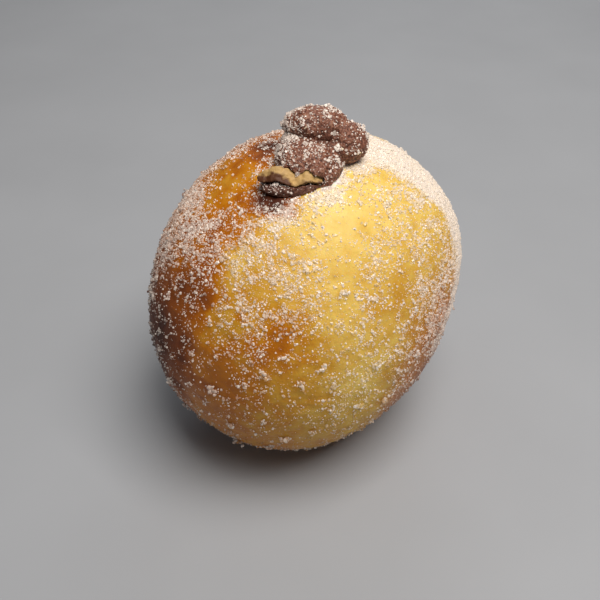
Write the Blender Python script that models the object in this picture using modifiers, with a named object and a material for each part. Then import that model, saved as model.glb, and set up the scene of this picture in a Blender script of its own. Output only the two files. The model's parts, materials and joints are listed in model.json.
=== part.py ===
"""Bombolone: a sugared, filled doughnut standing on its rim.

The dough is a plump round pillow.  Its two fried faces look sideways, its pale
waist runs over the top and under the bottom, and a filling hole pierced in the
waist faces up.  A thick plug of chocolate and hazelnut cream swells out of the
hole behind a torn flap of crust, and coarse sugar clings to everything.

Lengths are in metres, +Z is up and the dough rests on a small flat at z = 0.
The darker fried face looks along -X and a little up.
"""

import math
import random

import bmesh
import bpy
from mathutils import Matrix, Vector

# Dough pillow
ROUND_RADIUS = 0.0429          # radius of the round, across the waist
HALF_THICKNESS = 0.0362        # from the middle to a fried face
PILLOW_POWER = 2.14            # 2 is an ellipsoid, more is boxier
FACE_TILT = math.radians(10)   # how far the dark face looks upward
DOUGH_CENTRE = Vector((0.0025, -0.0010, 0.0406))   # above the middle of the rest flat
DOUGH_CUTS = 4                 # rounds of splitting the coarse cage
FLAT_SHARPNESS = 26            # how crisply a pressed flat meets the round

# Broad pressed flats: direction from the dough's centre, distance of the flat
PRESSED_FLATS = (
    ((0.26, 0.93, 0.25), 0.0399),
    ((0.86, -0.18, -0.48), 0.0392),
    ((-0.55, 0.62, -0.56), 0.0397),
)
# Broad swells and hollows: direction, angular width in radians, height
SWELLS = (
    ((0.35, -0.86, -0.36), 0.55, -0.0006),
    ((0.25, -0.18, 0.95), 0.30, -0.0006),
    ((-0.10, -0.52, 0.85), 0.18, -0.0007),
    ((0.33, -0.33, 0.88), 0.17, 0.0008),
    ((-0.15, 0.35, 0.92), 0.45, -0.0013),
    ((0.74, 0.42, 0.52), 0.35, 0.0010),
    ((0.10, 0.95, -0.20), 0.60, 0.0007),
    ((-0.70, -0.60, -0.35), 0.35, -0.0005),
    ((0.86, 0.42, -0.15), 0.35, -0.0006),
    ((0.45, 0.62, 0.64), 0.40, -0.0005),
    ((-0.30, 0.75, 0.58), 0.45, -0.0005),
    ((0.30, -0.20, -0.93), 0.40, -0.0015),
)

# Filling hole and plug of cream
HOLE_DIRECTION = Vector((0.13, -0.17, 0.976)).normalized()
HOLE_HEADING = math.radians(33)   # turn of the plug's own "right" about +Z
HOLE_WIDTH = 0.0112
HOLE_BREADTH = 0.0096
STEM_DEPTH = 0.0300
STEM_RISE = 0.10                  # height of its top above the mouth, share of the depth
STEM_ROUNDS = (                   # depth as a share of STEM_DEPTH, width scale
    (-0.10, 0.96), (0.0, 1.0), (0.2, 0.95), (0.45, 0.86), (0.70, 0.75), (0.88, 0.60), (0.97, 0.36),
)
STEM_SIDES = 20
SEAT_GAP = 0.0003                 # clearance kept between touching pieces
SEAM_WELD = 0.000012              # points closer than this along a cut are one

# Lobes of the plug: centre (right, front, up) from the hole's mouth, half sizes
LOBES = (
    ((-0.0009, 0.0006, 0.0014), (0.0075, 0.0070, 0.0052)),
    ((0.0073, -0.0042, 0.0032), (0.0051, 0.0046, 0.0051)),
    ((-0.0040, 0.0058, -0.0006), (0.0068, 0.0040, 0.0028)),
    ((-0.0028, -0.0036, 0.0032), (0.0036, 0.0040, 0.0036)),
    ((0.0028, 0.0010, 0.0002), (0.0042, 0.0062, 0.0046)),
)
# The roll of cream folded over the back of the plug, crisp where it meets the rest
ROLL = ((0.0013, -0.0057, 0.0060), (0.0072, 0.0047, 0.0050))
LOBE_CUTS = 3
CREAM_GRAIN = 0.0012              # size of the cream's facets
CREAM_SOFTENING = 1
LOBE_ROUGHNESS = 0.05             # share of a lobe's radius

# Torn flap of crust, a sloping shelf in front of the plug
FLAP_LEFT = -0.0108               # right-hand coordinates of its two ends
FLAP_RIGHT = 0.0024
FLAP_FRONT = 0.0060               # distance in front of the hole's middle
FLAP_BULGE = 0.0008               # how far its middle bows forward
FLAP_DEPTH = 0.0036               # from inner edge to outer edge
FLAP_SLOPE = math.radians(32)     # outer edge down
FLAP_THICKNESS = 0.0013
FLAP_LIFT = 0.0009                # height of its ends above the hole's mouth
FLAP_ARCH = 0.0012                # how much higher its middle is
FLAP_RIPPLES = (                  # place along the flap, width, height
    (0.27, 0.10, 0.0007), (0.58, 0.10, -0.0007), (0.80, 0.09, 0.0006),
)
FLAP_STEPS = 16
FLAP_ROWS = 3

# Sugar
SUGAR_COUNT = 228
SUGAR_SEATS = 2600                # places on the dough that a crystal may take
SUGAR_SMALL = 0.00062             # half size of a crystal
SUGAR_LARGE = 0.00125
SUGAR_SPACING = 0.0052            # least distance between crystals where sugar lies thickest
SUGAR_SINK = 0.38                 # share of a crystal that is under the surface
SUGAR_FLOOR = 0.0032              # no crystal sits lower than this
SUGAR_BARE = 0.15                 # below this density the dough stays bare
CRYSTAL_SIDE = 1.35               # side of a crystal whose half size is 1
BARE_PATCHES = (                  # glossy patches that shed their sugar: direction, angular width
    ((-0.18, -0.36, 0.92), 0.22), ((0.33, -0.33, 0.88), 0.24),
)
SUGAR_DRIFT = (0.60, 0.55, 0.58)  # the shoulder where sugar lies thickest
PLUG_SUGAR_COUNT = 20
PLUG_SUGAR_SPACING = 0.0022
PLUG_SUGAR_HEIGHT = 0.0022        # least height above the mouth for a crystal on the plug
PLUG_SUGAR_SLOPE = 0.15           # least upward share of the plug's normal under a crystal
PLUG_SUGAR_FLAP_GAP = 0.0042      # clear distance from the flap's middle line
SEED = 7

CREASE_ANGLE = math.radians(38)   # edges sharper than this stay crisp

COLOURS = {
    "dough": (0.64, 0.36, 0.10, 1.0),
    "filling": (0.10, 0.045, 0.030, 1.0),
    "crust_flap": (0.50, 0.30, 0.12, 1.0),
}


def clear_scene():
    """Empty the file."""
    for item in list(bpy.data.objects):
        bpy.data.objects.remove(item, do_unlink=True)


def new_collection(name, hidden):
    """Make a collection; a hidden one holds the cutting shapes."""
    group = bpy.data.collections.new(name)
    bpy.context.scene.collection.children.link(group)
    group.hide_render = hidden
    return group


def new_object(name, shape, group, place=(0.0, 0.0, 0.0), parent=None):
    """Wrap a finished bmesh in an object and put it in its place."""
    mesh = bpy.data.meshes.new(name)
    bmesh.ops.recalc_face_normals(shape, faces=shape.faces)
    shape.to_mesh(mesh)
    shape.free()
    item = bpy.data.objects.new(name, mesh)
    item.location = place
    item.parent = parent
    group.objects.link(item)
    return item


def apply_modifiers(item):
    """Freeze an object's modifiers into its mesh."""
    bpy.context.view_layer.update()
    graph = bpy.context.evaluated_depsgraph_get()
    mesh = bpy.data.meshes.new_from_object(item.evaluated_get(graph))
    item.modifiers.clear()
    item.data = mesh
    mesh.name = item.name


def weld(item, distance):
    """Merge the near-double points that a cut leaves along its seam."""
    shape = bmesh.new()
    shape.from_mesh(item.data)
    bmesh.ops.remove_doubles(shape, verts=shape.verts, dist=distance)
    bmesh.ops.dissolve_degenerate(shape, edges=shape.edges, dist=distance)
    bmesh.ops.recalc_face_normals(shape, faces=shape.faces)
    shape.to_mesh(item.data)
    shape.free()


def cut(item, tool, operation):
    """Join or subtract one closed shape."""
    step = item.modifiers.new("join", "BOOLEAN")
    step.operation = operation
    step.solver = "EXACT"
    step.object = tool
    apply_modifiers(item)
    weld(item, SEAM_WELD)


def melt_together(item):
    """Soften the creases where the lobes of cream run into each other."""
    skin = item.modifiers.new("skin", "REMESH")
    skin.mode = "VOXEL"
    skin.voxel_size = CREAM_GRAIN
    softening = item.modifiers.new("softening", "SMOOTH")
    softening.factor = 0.5
    softening.iterations = CREAM_SOFTENING
    apply_modifiers(item)


def face_axis():
    """Direction that the dark fried face looks in."""
    return Vector((-math.cos(FACE_TILT), 0.0, math.sin(FACE_TILT)))


def dough_reach(direction, grow=0.0):
    """Distance from the dough's centre to its surface along a unit direction."""
    along = direction.dot(face_axis())
    across = math.sqrt(max(0.0, 1.0 - along * along))
    power = PILLOW_POWER
    inverse = ((across / ROUND_RADIUS) ** power + (abs(along) / HALF_THICKNESS) ** power) ** (1 / power)
    total = inverse ** FLAT_SHARPNESS
    for heading, distance in PRESSED_FLATS:
        facing = direction.dot(Vector(heading).normalized())
        if facing > 0.0:
            total += (facing / distance) ** FLAT_SHARPNESS
    reach = total ** (-1.0 / FLAT_SHARPNESS)
    for heading, width, height in SWELLS:
        angle = direction.angle(Vector(heading).normalized())
        reach += height * math.exp(-((angle / width) ** 2))
    return reach + grow


def dough_normal(direction):
    """Outward normal of the dough's surface along a unit direction."""
    side = direction.orthogonal().normalized()
    other = direction.cross(side)
    step = 0.02
    points = []
    for turn in (side, other):
        for sign in (-1, 1):
            aim = (direction + sign * step * turn).normalized()
            points.append(aim * dough_reach(aim))
    return (points[1] - points[0]).cross(points[3] - points[2]).normalized()


def dough_body(name, group, grow=0.0):
    """The whole pillow, from a coarse cube split and rounded out."""
    shape = bmesh.new()
    bmesh.ops.create_cube(shape, size=1.0)
    for _ in range(DOUGH_CUTS):
        bmesh.ops.subdivide_edges(shape, edges=shape.edges[:], cuts=1, use_grid_fill=True)
        for vert in shape.verts:
            vert.co.normalize()
    for vert in shape.verts:
        direction = vert.co.normalized()
        vert.co = direction * dough_reach(direction, grow)
    return new_object(name, shape, group, DOUGH_CENTRE)


def flatten_foot(item):
    """Cut the flat that the dough rests on."""
    shape = bmesh.new()
    shape.from_mesh(item.data)
    geometry = shape.verts[:] + shape.edges[:] + shape.faces[:]
    table = (0.0, 0.0, -DOUGH_CENTRE.z)
    bmesh.ops.bisect_plane(
        shape, geom=geometry, plane_co=table, plane_no=(0, 0, -1), clear_outer=True, dist=1e-6
    )
    rim = [edge for edge in shape.edges if edge.is_boundary]
    bmesh.ops.contextual_create(shape, geom=rim)
    shape.to_mesh(item.data)
    shape.free()


def mouth_frame():
    """Place and turn of the hole's mouth: right, front and up as columns."""
    up = dough_normal(HOLE_DIRECTION)
    right = Vector((math.cos(HOLE_HEADING), math.sin(HOLE_HEADING), 0.0))
    right = (right - up * right.dot(up)).normalized()
    back = up.cross(right)
    turn = Matrix((right, back, up)).transposed().to_4x4()
    place = DOUGH_CENTRE + HOLE_DIRECTION * dough_reach(HOLE_DIRECTION)
    return Matrix.Translation(place) @ turn


def place_mouth(group):
    """The empty at the hole's mouth that carries the plug and the flap."""
    mouth = bpy.data.objects.new("mouth", None)
    mouth.empty_display_size = HOLE_WIDTH
    group.objects.link(mouth)
    frame = mouth_frame()
    mouth.location = frame.to_translation()
    mouth.rotation_euler = frame.to_euler()
    return mouth


def stem(name, group, mouth, grow=0.0):
    """The tapering root of the plug: a turned profile made oval, with a rounded tip."""
    shape = bmesh.new()
    tip = -STEM_DEPTH - grow
    profile = [shape.verts.new((0.0, 0.0, STEM_DEPTH * STEM_RISE))]
    for share, scale in STEM_ROUNDS:
        profile.append(shape.verts.new((HOLE_WIDTH / 2 * scale + grow, 0.0, -share * STEM_DEPTH)))
    profile.append(shape.verts.new((0.0, 0.0, tip)))
    for upper, lower in zip(profile, profile[1:]):
        shape.edges.new((upper, lower))
    item = new_object(name, shape, group, parent=mouth)
    turning = item.modifiers.new("turning", "SCREW")
    turning.axis = "Z"
    turning.steps = STEM_SIDES
    turning.render_steps = STEM_SIDES
    turning.use_merge_vertices = True
    turning.merge_threshold = 0.00001
    apply_modifiers(item)
    oval = (HOLE_BREADTH / 2 + grow) / (HOLE_WIDTH / 2 + grow)
    item.data.transform(Matrix.Diagonal((1.0, oval, 1.0, 1.0)))
    return item


def lobe(name, group, mouth, centre, half, draw):
    """One lumpy swelling of the plug."""
    shape = bmesh.new()
    bmesh.ops.create_icosphere(shape, subdivisions=LOBE_CUTS, radius=1.0)
    waves = []
    for _ in range(5):
        heading = Vector([draw.uniform(-1, 1) for _ in range(3)]).normalized()
        waves.append((heading, draw.uniform(2.2, 4.5), draw.uniform(0, 6.28)))
    right, front, up = centre
    for vert in shape.verts:
        bump = sum(math.sin(rate * vert.co.dot(heading) + phase) for heading, rate, phase in waves)
        swell = 1 + LOBE_ROUGHNESS * bump / 2
        spot = Vector((vert.co.x * half[0], vert.co.y * half[1], vert.co.z * half[2])) * swell
        vert.co = spot + Vector((right, -front, up))
    return new_object(name, shape, group, parent=mouth)


def flap_point(share, row, inset):
    """A point of the flap's middle surface, in the mouth's frame."""
    belly = math.sin(math.pi * share) ** 0.7
    depth = FLAP_DEPTH * (0.50 + 0.50 * belly) + 2 * inset
    ripple = sum(height * math.exp(-(((share - place) / width) ** 2)) for place, width, height in FLAP_RIPPLES)
    across = (row - 0.5) * depth
    right = FLAP_LEFT - inset + (FLAP_RIGHT - FLAP_LEFT + 2 * inset) * share
    front = FLAP_FRONT + FLAP_BULGE * belly + across * math.cos(FLAP_SLOPE)
    lift = FLAP_LIFT + FLAP_ARCH * belly + ripple - across * math.sin(FLAP_SLOPE)
    return Vector((right, -front, lift))


def flap(name, group, mouth, grow=0.0):
    """The torn flap of crust: a wavy sheet made thick, with a rounded rim."""
    shape = bmesh.new()
    bmesh.ops.create_grid(shape, x_segments=FLAP_STEPS, y_segments=FLAP_ROWS, size=0.5)
    for vert in shape.verts:
        vert.co = flap_point(vert.co.x + 0.5, 0.5 - vert.co.y, grow)
    item = new_object(name, shape, group, parent=mouth)
    thick = item.modifiers.new("thickness", "SOLIDIFY")
    thick.thickness = FLAP_THICKNESS + 2 * grow
    thick.offset = 0.0
    if grow == 0.0:
        rounding = item.modifiers.new("rounding", "BEVEL")
        rounding.width = FLAP_THICKNESS * 0.30
        rounding.segments = 1
        rounding.limit_method = "ANGLE"
        rounding.angle_limit = math.radians(50)
    apply_modifiers(item)
    return item


def crystal(name, group, spot, normal, half, draw):
    """One block of sugar, partly sunk into what it lies on."""
    shape = bmesh.new()
    bmesh.ops.create_cube(shape, size=CRYSTAL_SIDE * half)
    stretch = [draw.uniform(0.78, 1.22) for _ in range(3)]
    for vert in shape.verts:
        chip = draw.uniform(0.85, 1.10)
        vert.co = Vector([vert.co[axis] * stretch[axis] * chip for axis in range(3)])
    item = new_object(name, shape, group, spot + normal * half * (1 - 2 * SUGAR_SINK))
    item.rotation_euler = [draw.uniform(0.0, math.tau) for _ in range(3)]
    return item


def sugar_density(direction):
    """How thickly sugar lies on the dough along a direction, 0 to 1."""
    dark = direction.dot(face_axis())
    density = 0.62 + 0.30 * max(0.0, min(1.0, (dark + 0.15) / 0.6))
    drift = direction.dot(Vector(SUGAR_DRIFT).normalized())
    density += 0.5 * max(0.0, min(1.0, (drift - 0.62) / 0.25))
    density *= 0.60 + 0.40 * max(0.0, min(1.0, (direction.z + 0.75) / 0.7))
    for heading, width in BARE_PATCHES:
        angle = direction.angle(Vector(heading).normalized())
        density *= 1 - 0.97 * math.exp(-((angle / width) ** 4))
    return min(1.0, density)


def near_plug(spot, frame):
    """True where a crystal on the dough would touch the plug or the flap."""
    local = frame.inverted() @ spot
    margin = SUGAR_LARGE * 1.3 + SEAT_GAP
    for (right, front, up), half in LOBES + (ROLL,):
        offset = Vector((local.x - right, local.y + front, local.z - up))
        size = [value * (1 + LOBE_ROUGHNESS * 1.5) + margin for value in half]
        if sum((offset[axis] / size[axis]) ** 2 for axis in range(3)) < 1.0:
            return True
    for step in range(FLAP_STEPS + 1):
        for row in (0.0, 0.5, 1.0):
            if (flap_point(step / FLAP_STEPS, row, 0.0) - local).length < FLAP_THICKNESS / 2 + margin:
                return True
    return False


def dough_sugar(group, draw):
    """Crystals over the dough: an even spiral of seats thinned by the density rule."""
    kept = []
    frame = mouth_frame()
    golden = math.pi * (3 - math.sqrt(5))
    order = list(range(SUGAR_SEATS))
    draw.shuffle(order)
    for index in order:
        if len(kept) >= SUGAR_COUNT:
            break
        height = 1 - 2 * (index + 0.5) / SUGAR_SEATS
        ring = math.sqrt(1 - height * height)
        direction = Vector((ring * math.cos(golden * index), ring * math.sin(golden * index), height))
        size = SUGAR_SMALL + (SUGAR_LARGE - SUGAR_SMALL) * draw.random() ** 1.3
        spot = DOUGH_CENTRE + direction * dough_reach(direction)
        density = sugar_density(direction)
        if density < SUGAR_BARE or spot.z < SUGAR_FLOOR or near_plug(spot, frame):
            continue
        spacing = SUGAR_SPACING / math.sqrt(density) * draw.uniform(0.75, 1.25)
        if any((spot - other).length < spacing for other in kept):
            continue
        kept.append(spot)
        crystal(f"dough_sugar_{len(kept):03d}", group, spot, dough_normal(direction), size, draw)


def plug_sugar(item, group, draw):
    """Crystals on the plug: set on faces that look up or outward, well apart."""
    frame = mouth_frame()
    line = [flap_point(step / FLAP_STEPS, 0.5, 0.0) for step in range(FLAP_STEPS + 1)]
    faces = list(item.data.polygons)
    draw.shuffle(faces)
    kept = []
    for face in faces:
        if len(kept) >= PLUG_SUGAR_COUNT:
            break
        local = Vector(face.center)
        if face.normal.z < PLUG_SUGAR_SLOPE or local.z < PLUG_SUGAR_HEIGHT:
            continue
        if any((local - point).length < PLUG_SUGAR_FLAP_GAP for point in line):
            continue
        if any((local - other).length < PLUG_SUGAR_SPACING for other in kept):
            continue
        kept.append(local)
        size = draw.uniform(SUGAR_SMALL * 0.9, SUGAR_LARGE * 0.8)
        normal = frame.to_3x3() @ Vector(face.normal)
        crystal(f"plug_sugar_{len(kept):03d}", group, frame @ local, normal, size, draw)


def join_sugar(item, group):
    """Fuse every crystal of a collection to what it lies on, in one union."""
    step = item.modifiers.new("sugar", "BOOLEAN")
    step.operation = "UNION"
    step.solver = "EXACT"
    step.operand_type = "COLLECTION"
    step.collection = group
    apply_modifiers(item)
    for tool in list(group.objects):
        bpy.data.objects.remove(tool, do_unlink=True)
    bpy.data.collections.remove(group)


def keep_largest(item):
    """Keep only the largest closed body, without the loose scraps of a cut."""
    shape = bmesh.new()
    shape.from_mesh(item.data)
    islands = []
    unseen = set(shape.verts)
    while unseen:
        island = set()
        front = [unseen.pop()]
        while front:
            vert = front.pop()
            island.add(vert)
            for edge in vert.link_edges:
                other = edge.other_vert(vert)
                if other in unseen:
                    unseen.discard(other)
                    front.append(other)
        islands.append(island)
    islands.sort(key=len)
    for island in islands[:-1]:
        bmesh.ops.delete(shape, geom=list(island), context="VERTS")
    bmesh.ops.recalc_face_normals(shape, faces=shape.faces)
    shape.to_mesh(item.data)
    shape.free()


def dress(item, roughness):
    """Give a piece its own plain material and smooth shading."""
    item.data.materials.clear()
    finish = bpy.data.materials.new(item.name)
    finish.use_nodes = True
    shader = finish.node_tree.nodes["Principled BSDF"]
    shader.inputs["Base Color"].default_value = COLOURS[item.name]
    shader.inputs["Roughness"].default_value = roughness
    shader.inputs["Metallic"].default_value = 0.0
    finish.diffuse_color = COLOURS[item.name]
    item.data.materials.append(finish)
    item.data.shade_smooth()
    item.data.set_sharp_from_angle(angle=CREASE_ANGLE)


def build_filling(parts, tools, mouth, draw):
    """The plug of cream, seated on the dough, with its root and the flap's slot."""
    filling = lobe("filling", parts, mouth, *LOBES[0], draw)
    for index, (centre, half) in enumerate(LOBES[1:]):
        cut(filling, lobe(f"lobe_{index}", tools, mouth, centre, half, draw), "UNION")
    melt_together(filling)
    roll = lobe("roll", tools, mouth, *ROLL, draw)
    melt_together(roll)
    cut(filling, roll, "UNION")
    sugar = new_collection("filling_sugar", True)
    plug_sugar(filling, sugar, draw)
    join_sugar(filling, sugar)
    cut(filling, dough_body("dough_grown", tools, SEAT_GAP), "DIFFERENCE")
    cut(filling, stem("stem", tools, mouth), "UNION")
    cut(filling, flap("flap_slot", tools, mouth, SEAT_GAP), "DIFFERENCE")
    return filling


def build_dough(parts, tools, mouth, draw):
    """The pillow with its rest flat, its filling hole and its sugar."""
    dough = dough_body("dough", parts)
    flatten_foot(dough)
    cut(dough, stem("hole", tools, mouth, SEAT_GAP), "DIFFERENCE")
    sugar = new_collection("dough_sugar", True)
    dough_sugar(sugar, draw)
    join_sugar(dough, sugar)
    return dough


def build():
    """Make the three pieces."""
    clear_scene()
    parts = new_collection("bombolone", False)
    tools = new_collection("cutters", True)
    draw = random.Random(SEED)
    mouth = place_mouth(parts)

    filling = build_filling(parts, tools, mouth, draw)
    dough = build_dough(parts, tools, mouth, draw)
    crust = flap("crust_flap", parts, mouth)

    for tool in tools.objects:
        tool.display_type = "WIRE"
        tool.hide_render = True
    for item, roughness in ((dough, 0.6), (filling, 0.7), (crust, 0.7)):
        weld(item, SEAM_WELD / 4)
        keep_largest(item)
        dress(item, roughness)


build()
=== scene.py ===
"""The looks of a sugared, filled bombolone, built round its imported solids.

The dough, the plug of chocolate and hazelnut cream and the torn flap of crust are
modelled again at fine scale by the same rules as the solids, and each stands for its
own node. Loose granulated sugar is added as joined meshes of true-size crystals.

Lengths are in metres and +Z is up.
"""

import json
import logging
import math
import random
from dataclasses import dataclass, field
from enum import Enum
from functools import partial
from typing import Any, Callable

import bmesh
import bpy
import numpy as np
from mathutils import Matrix, Vector, noise
from mathutils.bvhtree import BVHTree

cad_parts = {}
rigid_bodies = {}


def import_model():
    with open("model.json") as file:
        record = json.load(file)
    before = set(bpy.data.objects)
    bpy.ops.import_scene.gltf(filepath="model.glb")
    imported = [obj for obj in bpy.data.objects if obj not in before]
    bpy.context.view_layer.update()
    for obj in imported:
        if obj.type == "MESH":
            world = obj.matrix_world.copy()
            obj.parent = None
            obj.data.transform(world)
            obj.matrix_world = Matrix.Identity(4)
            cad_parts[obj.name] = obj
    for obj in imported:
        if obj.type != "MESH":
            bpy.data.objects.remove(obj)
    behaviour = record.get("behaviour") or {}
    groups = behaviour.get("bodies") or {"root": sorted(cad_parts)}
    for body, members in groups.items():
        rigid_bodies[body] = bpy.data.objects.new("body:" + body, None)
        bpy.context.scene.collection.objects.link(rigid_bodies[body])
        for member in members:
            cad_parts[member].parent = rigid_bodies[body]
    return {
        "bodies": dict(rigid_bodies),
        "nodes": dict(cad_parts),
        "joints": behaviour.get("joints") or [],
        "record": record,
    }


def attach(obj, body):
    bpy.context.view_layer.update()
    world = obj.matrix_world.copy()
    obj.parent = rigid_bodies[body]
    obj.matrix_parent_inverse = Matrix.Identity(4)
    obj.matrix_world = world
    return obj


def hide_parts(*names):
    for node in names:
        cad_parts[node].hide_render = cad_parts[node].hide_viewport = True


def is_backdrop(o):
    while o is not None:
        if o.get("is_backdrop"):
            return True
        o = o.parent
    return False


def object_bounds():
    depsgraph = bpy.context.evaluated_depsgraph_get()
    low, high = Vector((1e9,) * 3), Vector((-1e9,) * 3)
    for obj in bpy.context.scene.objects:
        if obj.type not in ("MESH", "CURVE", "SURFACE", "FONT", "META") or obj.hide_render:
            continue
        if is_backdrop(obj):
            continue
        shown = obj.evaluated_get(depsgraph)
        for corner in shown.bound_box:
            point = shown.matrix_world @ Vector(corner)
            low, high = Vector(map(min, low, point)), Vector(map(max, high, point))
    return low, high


LOG = logging.getLogger("bombolone")
SEED = 7  # every random draw starts from it

Triple = tuple[float, float, float]
Colour = tuple[float, float, float, float]


# ---------------------------------------------------------------- small tools


def linear(code: str) -> Colour:
    """Turn an sRGB hex colour into a linear RGBA colour.

    Args:
        code: Six hex digits, such as "E9C46A".

    Returns:
        The linear colour with full alpha.
    """
    parts = [int(code[place : place + 2], 16) / 255 for place in (0, 2, 4)]
    red, green, blue = (
        value / 12.92 if value <= 0.04045 else ((value + 0.055) / 1.055) ** 2.4 for value in parts
    )
    return (red, green, blue, 1.0)


def feed(tree: bpy.types.NodeTree, item: Any, inputs: dict[Any, Any]) -> None:
    """Set or link the inputs of a shader node.

    Args:
        tree: The material's node tree.
        item: The node.
        inputs: For each input, by name or index, a value or the output that feeds it.
    """
    for name, value in inputs.items():
        if isinstance(value, bpy.types.NodeSocket):
            tree.links.new(value, item.inputs[name])
        else:
            item.inputs[name].default_value = value


def add(tree: bpy.types.NodeTree, kind: str, settings: dict[str, Any], inputs: dict[Any, Any]) -> Any:
    """Add one shader node with its settings, values and links.

    Args:
        tree: The material's node tree.
        kind: The node's type name.
        settings: Properties of the node itself.
        inputs: For each input, by name or index, a value or the output that feeds it.

    Returns:
        The new node.
    """
    item = tree.nodes.new(kind)
    for name, value in settings.items():
        setattr(item, name, value)
    feed(tree, item, inputs)
    return item


def start_material(name: str) -> tuple[bpy.types.Material, bpy.types.NodeTree, Any]:
    """Start a material that has the Principled shader.

    Args:
        name: The material's name.

    Returns:
        The material, its node tree and its shader.
    """
    material = bpy.data.materials.new(name)
    material.use_nodes = True
    tree = material.node_tree
    return material, tree, tree.nodes["Principled BSDF"]


def set_ramp(ramp: Any, stops: list[tuple[float, Colour]]) -> None:
    """Give a colour ramp its stops.

    Args:
        ramp: A Color Ramp node.
        stops: Place and colour of each stop, in order.
    """
    steps = ramp.color_ramp.elements
    while len(steps) < len(stops):
        steps.new(0.5)
    for step, (place, colour) in zip(steps, stops):
        step.position = place
        step.color = colour


def unit(heading: Triple) -> np.ndarray:
    """A direction with length one."""
    value = np.array(heading, float)
    return value / np.linalg.norm(value)


def rise(values: np.ndarray, low: float, high: float) -> np.ndarray:
    """Go smoothly from 0 at low to 1 at high."""
    share = np.clip((values - low) / (high - low), 0.0, 1.0)
    return share * share * (3 - 2 * share)


def points_of(mesh: bpy.types.Mesh) -> np.ndarray:
    """Read all vertex places of a mesh.

    Args:
        mesh: The mesh.

    Returns:
        The places, one in each row.
    """
    flat = np.zeros(len(mesh.vertices) * 3)
    mesh.vertices.foreach_get("co", flat)
    return flat.reshape(-1, 3)


def move_points(mesh: bpy.types.Mesh, points: np.ndarray) -> None:
    """Put the vertices of a mesh in new places."""
    mesh.vertices.foreach_set("co", points.ravel())
    mesh.update()


def normals_of(mesh: bpy.types.Mesh) -> np.ndarray:
    """Read all vertex normals of a mesh.

    Args:
        mesh: The mesh.

    Returns:
        The normals, one in each row.
    """
    flat = np.zeros(len(mesh.vertices) * 3)
    mesh.vertex_normals.foreach_get("vector", flat)
    return flat.reshape(-1, 3)


def write_values(mesh: bpy.types.Mesh, name: str, values: np.ndarray) -> None:
    """Store one number for each vertex, for a material to read."""
    layer = mesh.attributes.new(name, "FLOAT", "POINT")
    layer.data.foreach_set("value", values.astype(np.float32))


def deselect() -> None:
    """Leave nothing selected."""
    bpy.ops.object.select_all(action="DESELECT")


def take(item: bpy.types.Object) -> None:
    """Make an object the only one selected, and active.

    Args:
        item: The object.
    """
    deselect()
    item.select_set(True)
    bpy.context.view_layer.objects.active = item


def apply_step(item: bpy.types.Object, kind: str, **settings: Any) -> None:
    """Add one modifier to an object and apply it.

    Args:
        item: The object.
        kind: The modifier's type name.
        **settings: The modifier's properties.
    """
    take(item)
    step = item.modifiers.new("step", kind)
    for name, value in settings.items():
        setattr(step, name, value)
    bpy.ops.object.modifier_apply(modifier=step.name)


def cut(item: bpy.types.Object, tool: bpy.types.Object, operation: str) -> None:
    """Join a closed shape to an object or take it away, and drop the shape."""
    apply_step(item, "BOOLEAN", operation=operation, solver="EXACT", object=tool)
    bpy.data.objects.remove(tool, do_unlink=True)


def tidy(item: bpy.types.Object, gap: float = 0.000004) -> None:
    """Merge doubled points and turn every face outward.

    Args:
        item: The object.
        gap: Points nearer than this are one.
    """
    take(item)
    bpy.ops.object.mode_set(mode="EDIT")
    bpy.ops.mesh.select_all(action="SELECT")
    bpy.ops.mesh.remove_doubles(threshold=gap)
    bpy.ops.mesh.dissolve_degenerate(threshold=gap)
    bpy.ops.mesh.normals_make_consistent(inside=False)
    bpy.ops.object.mode_set(mode="OBJECT")


def cube_ball(name: str, cuts: tuple[int, ...]) -> bpy.types.Object:
    """Add a ball of even square faces with radius one.

    Args:
        name: The object's name.
        cuts: Cuts of each round of subdivision.

    Returns:
        The ball, at the origin.
    """
    deselect()
    bpy.ops.mesh.primitive_cube_add(size=2.0, location=(0, 0, 0))
    item = bpy.context.active_object
    item.name = item.data.name = name
    bpy.ops.object.mode_set(mode="EDIT")
    bpy.ops.mesh.select_all(action="SELECT")
    for count in cuts:
        bpy.ops.mesh.subdivide(number_cuts=count)
    bpy.ops.object.mode_set(mode="OBJECT")
    # the tangent keeps the squares of one size from the middle of a side to its corners
    points = np.tan(points_of(item.data) * math.pi / 4)
    move_points(item.data, points / np.linalg.norm(points, axis=1, keepdims=True))
    return item


def finish_piece(
    item: bpy.types.Object, material: bpy.types.Material, node: str | None
) -> None:
    """Dress a finished piece and tie it to the frame.

    Args:
        item: The piece, with its place in its mesh.
        material: Its material.
        node: The solid that it stands for, if any.
    """
    item.data.materials.clear()
    item.data.materials.append(material)
    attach(item, "root")
    if node:
        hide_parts(node)


# ---------------------------------------------------------------- shape rules


@dataclass(frozen=True)
class Step:
    """A smooth step from 0 up to an amount, between two values."""

    low: float
    high: float
    amount: float = 1.0

    def at(self, values: np.ndarray) -> np.ndarray:
        """The step's height at each value."""
        return self.amount * rise(values, self.low, self.high)


@dataclass(frozen=True)
class Waves:
    """Smooth random waves: their height, their width, their layers and a shift.

    The shift moves a pattern, so that no two are alike.
    """

    amount: float
    size: float
    layers: float
    shift: float

    def at(self, points: np.ndarray) -> np.ndarray:
        """Find the waves' height at each point.

        Args:
            points: Places, or directions where the width is a share of the radius.

        Returns:
            One value for each point.
        """
        spots = (points / self.size + self.shift).tolist()
        return self.amount * np.array([noise.fractal(spot, 1.0, 2.0, self.layers) for spot in spots])


@dataclass(frozen=True)
class Zone:
    """A round patch of directions that fades outward."""

    heading: Triple
    width: float  # radians
    amount: float
    power: float = 2.0

    def over(self, aim: np.ndarray) -> np.ndarray:
        """The patch's amount along each unit direction."""
        angle = np.arccos(np.clip(aim @ unit(self.heading), -1.0, 1.0))
        return self.amount * np.exp(-((angle / self.width) ** self.power))


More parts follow.
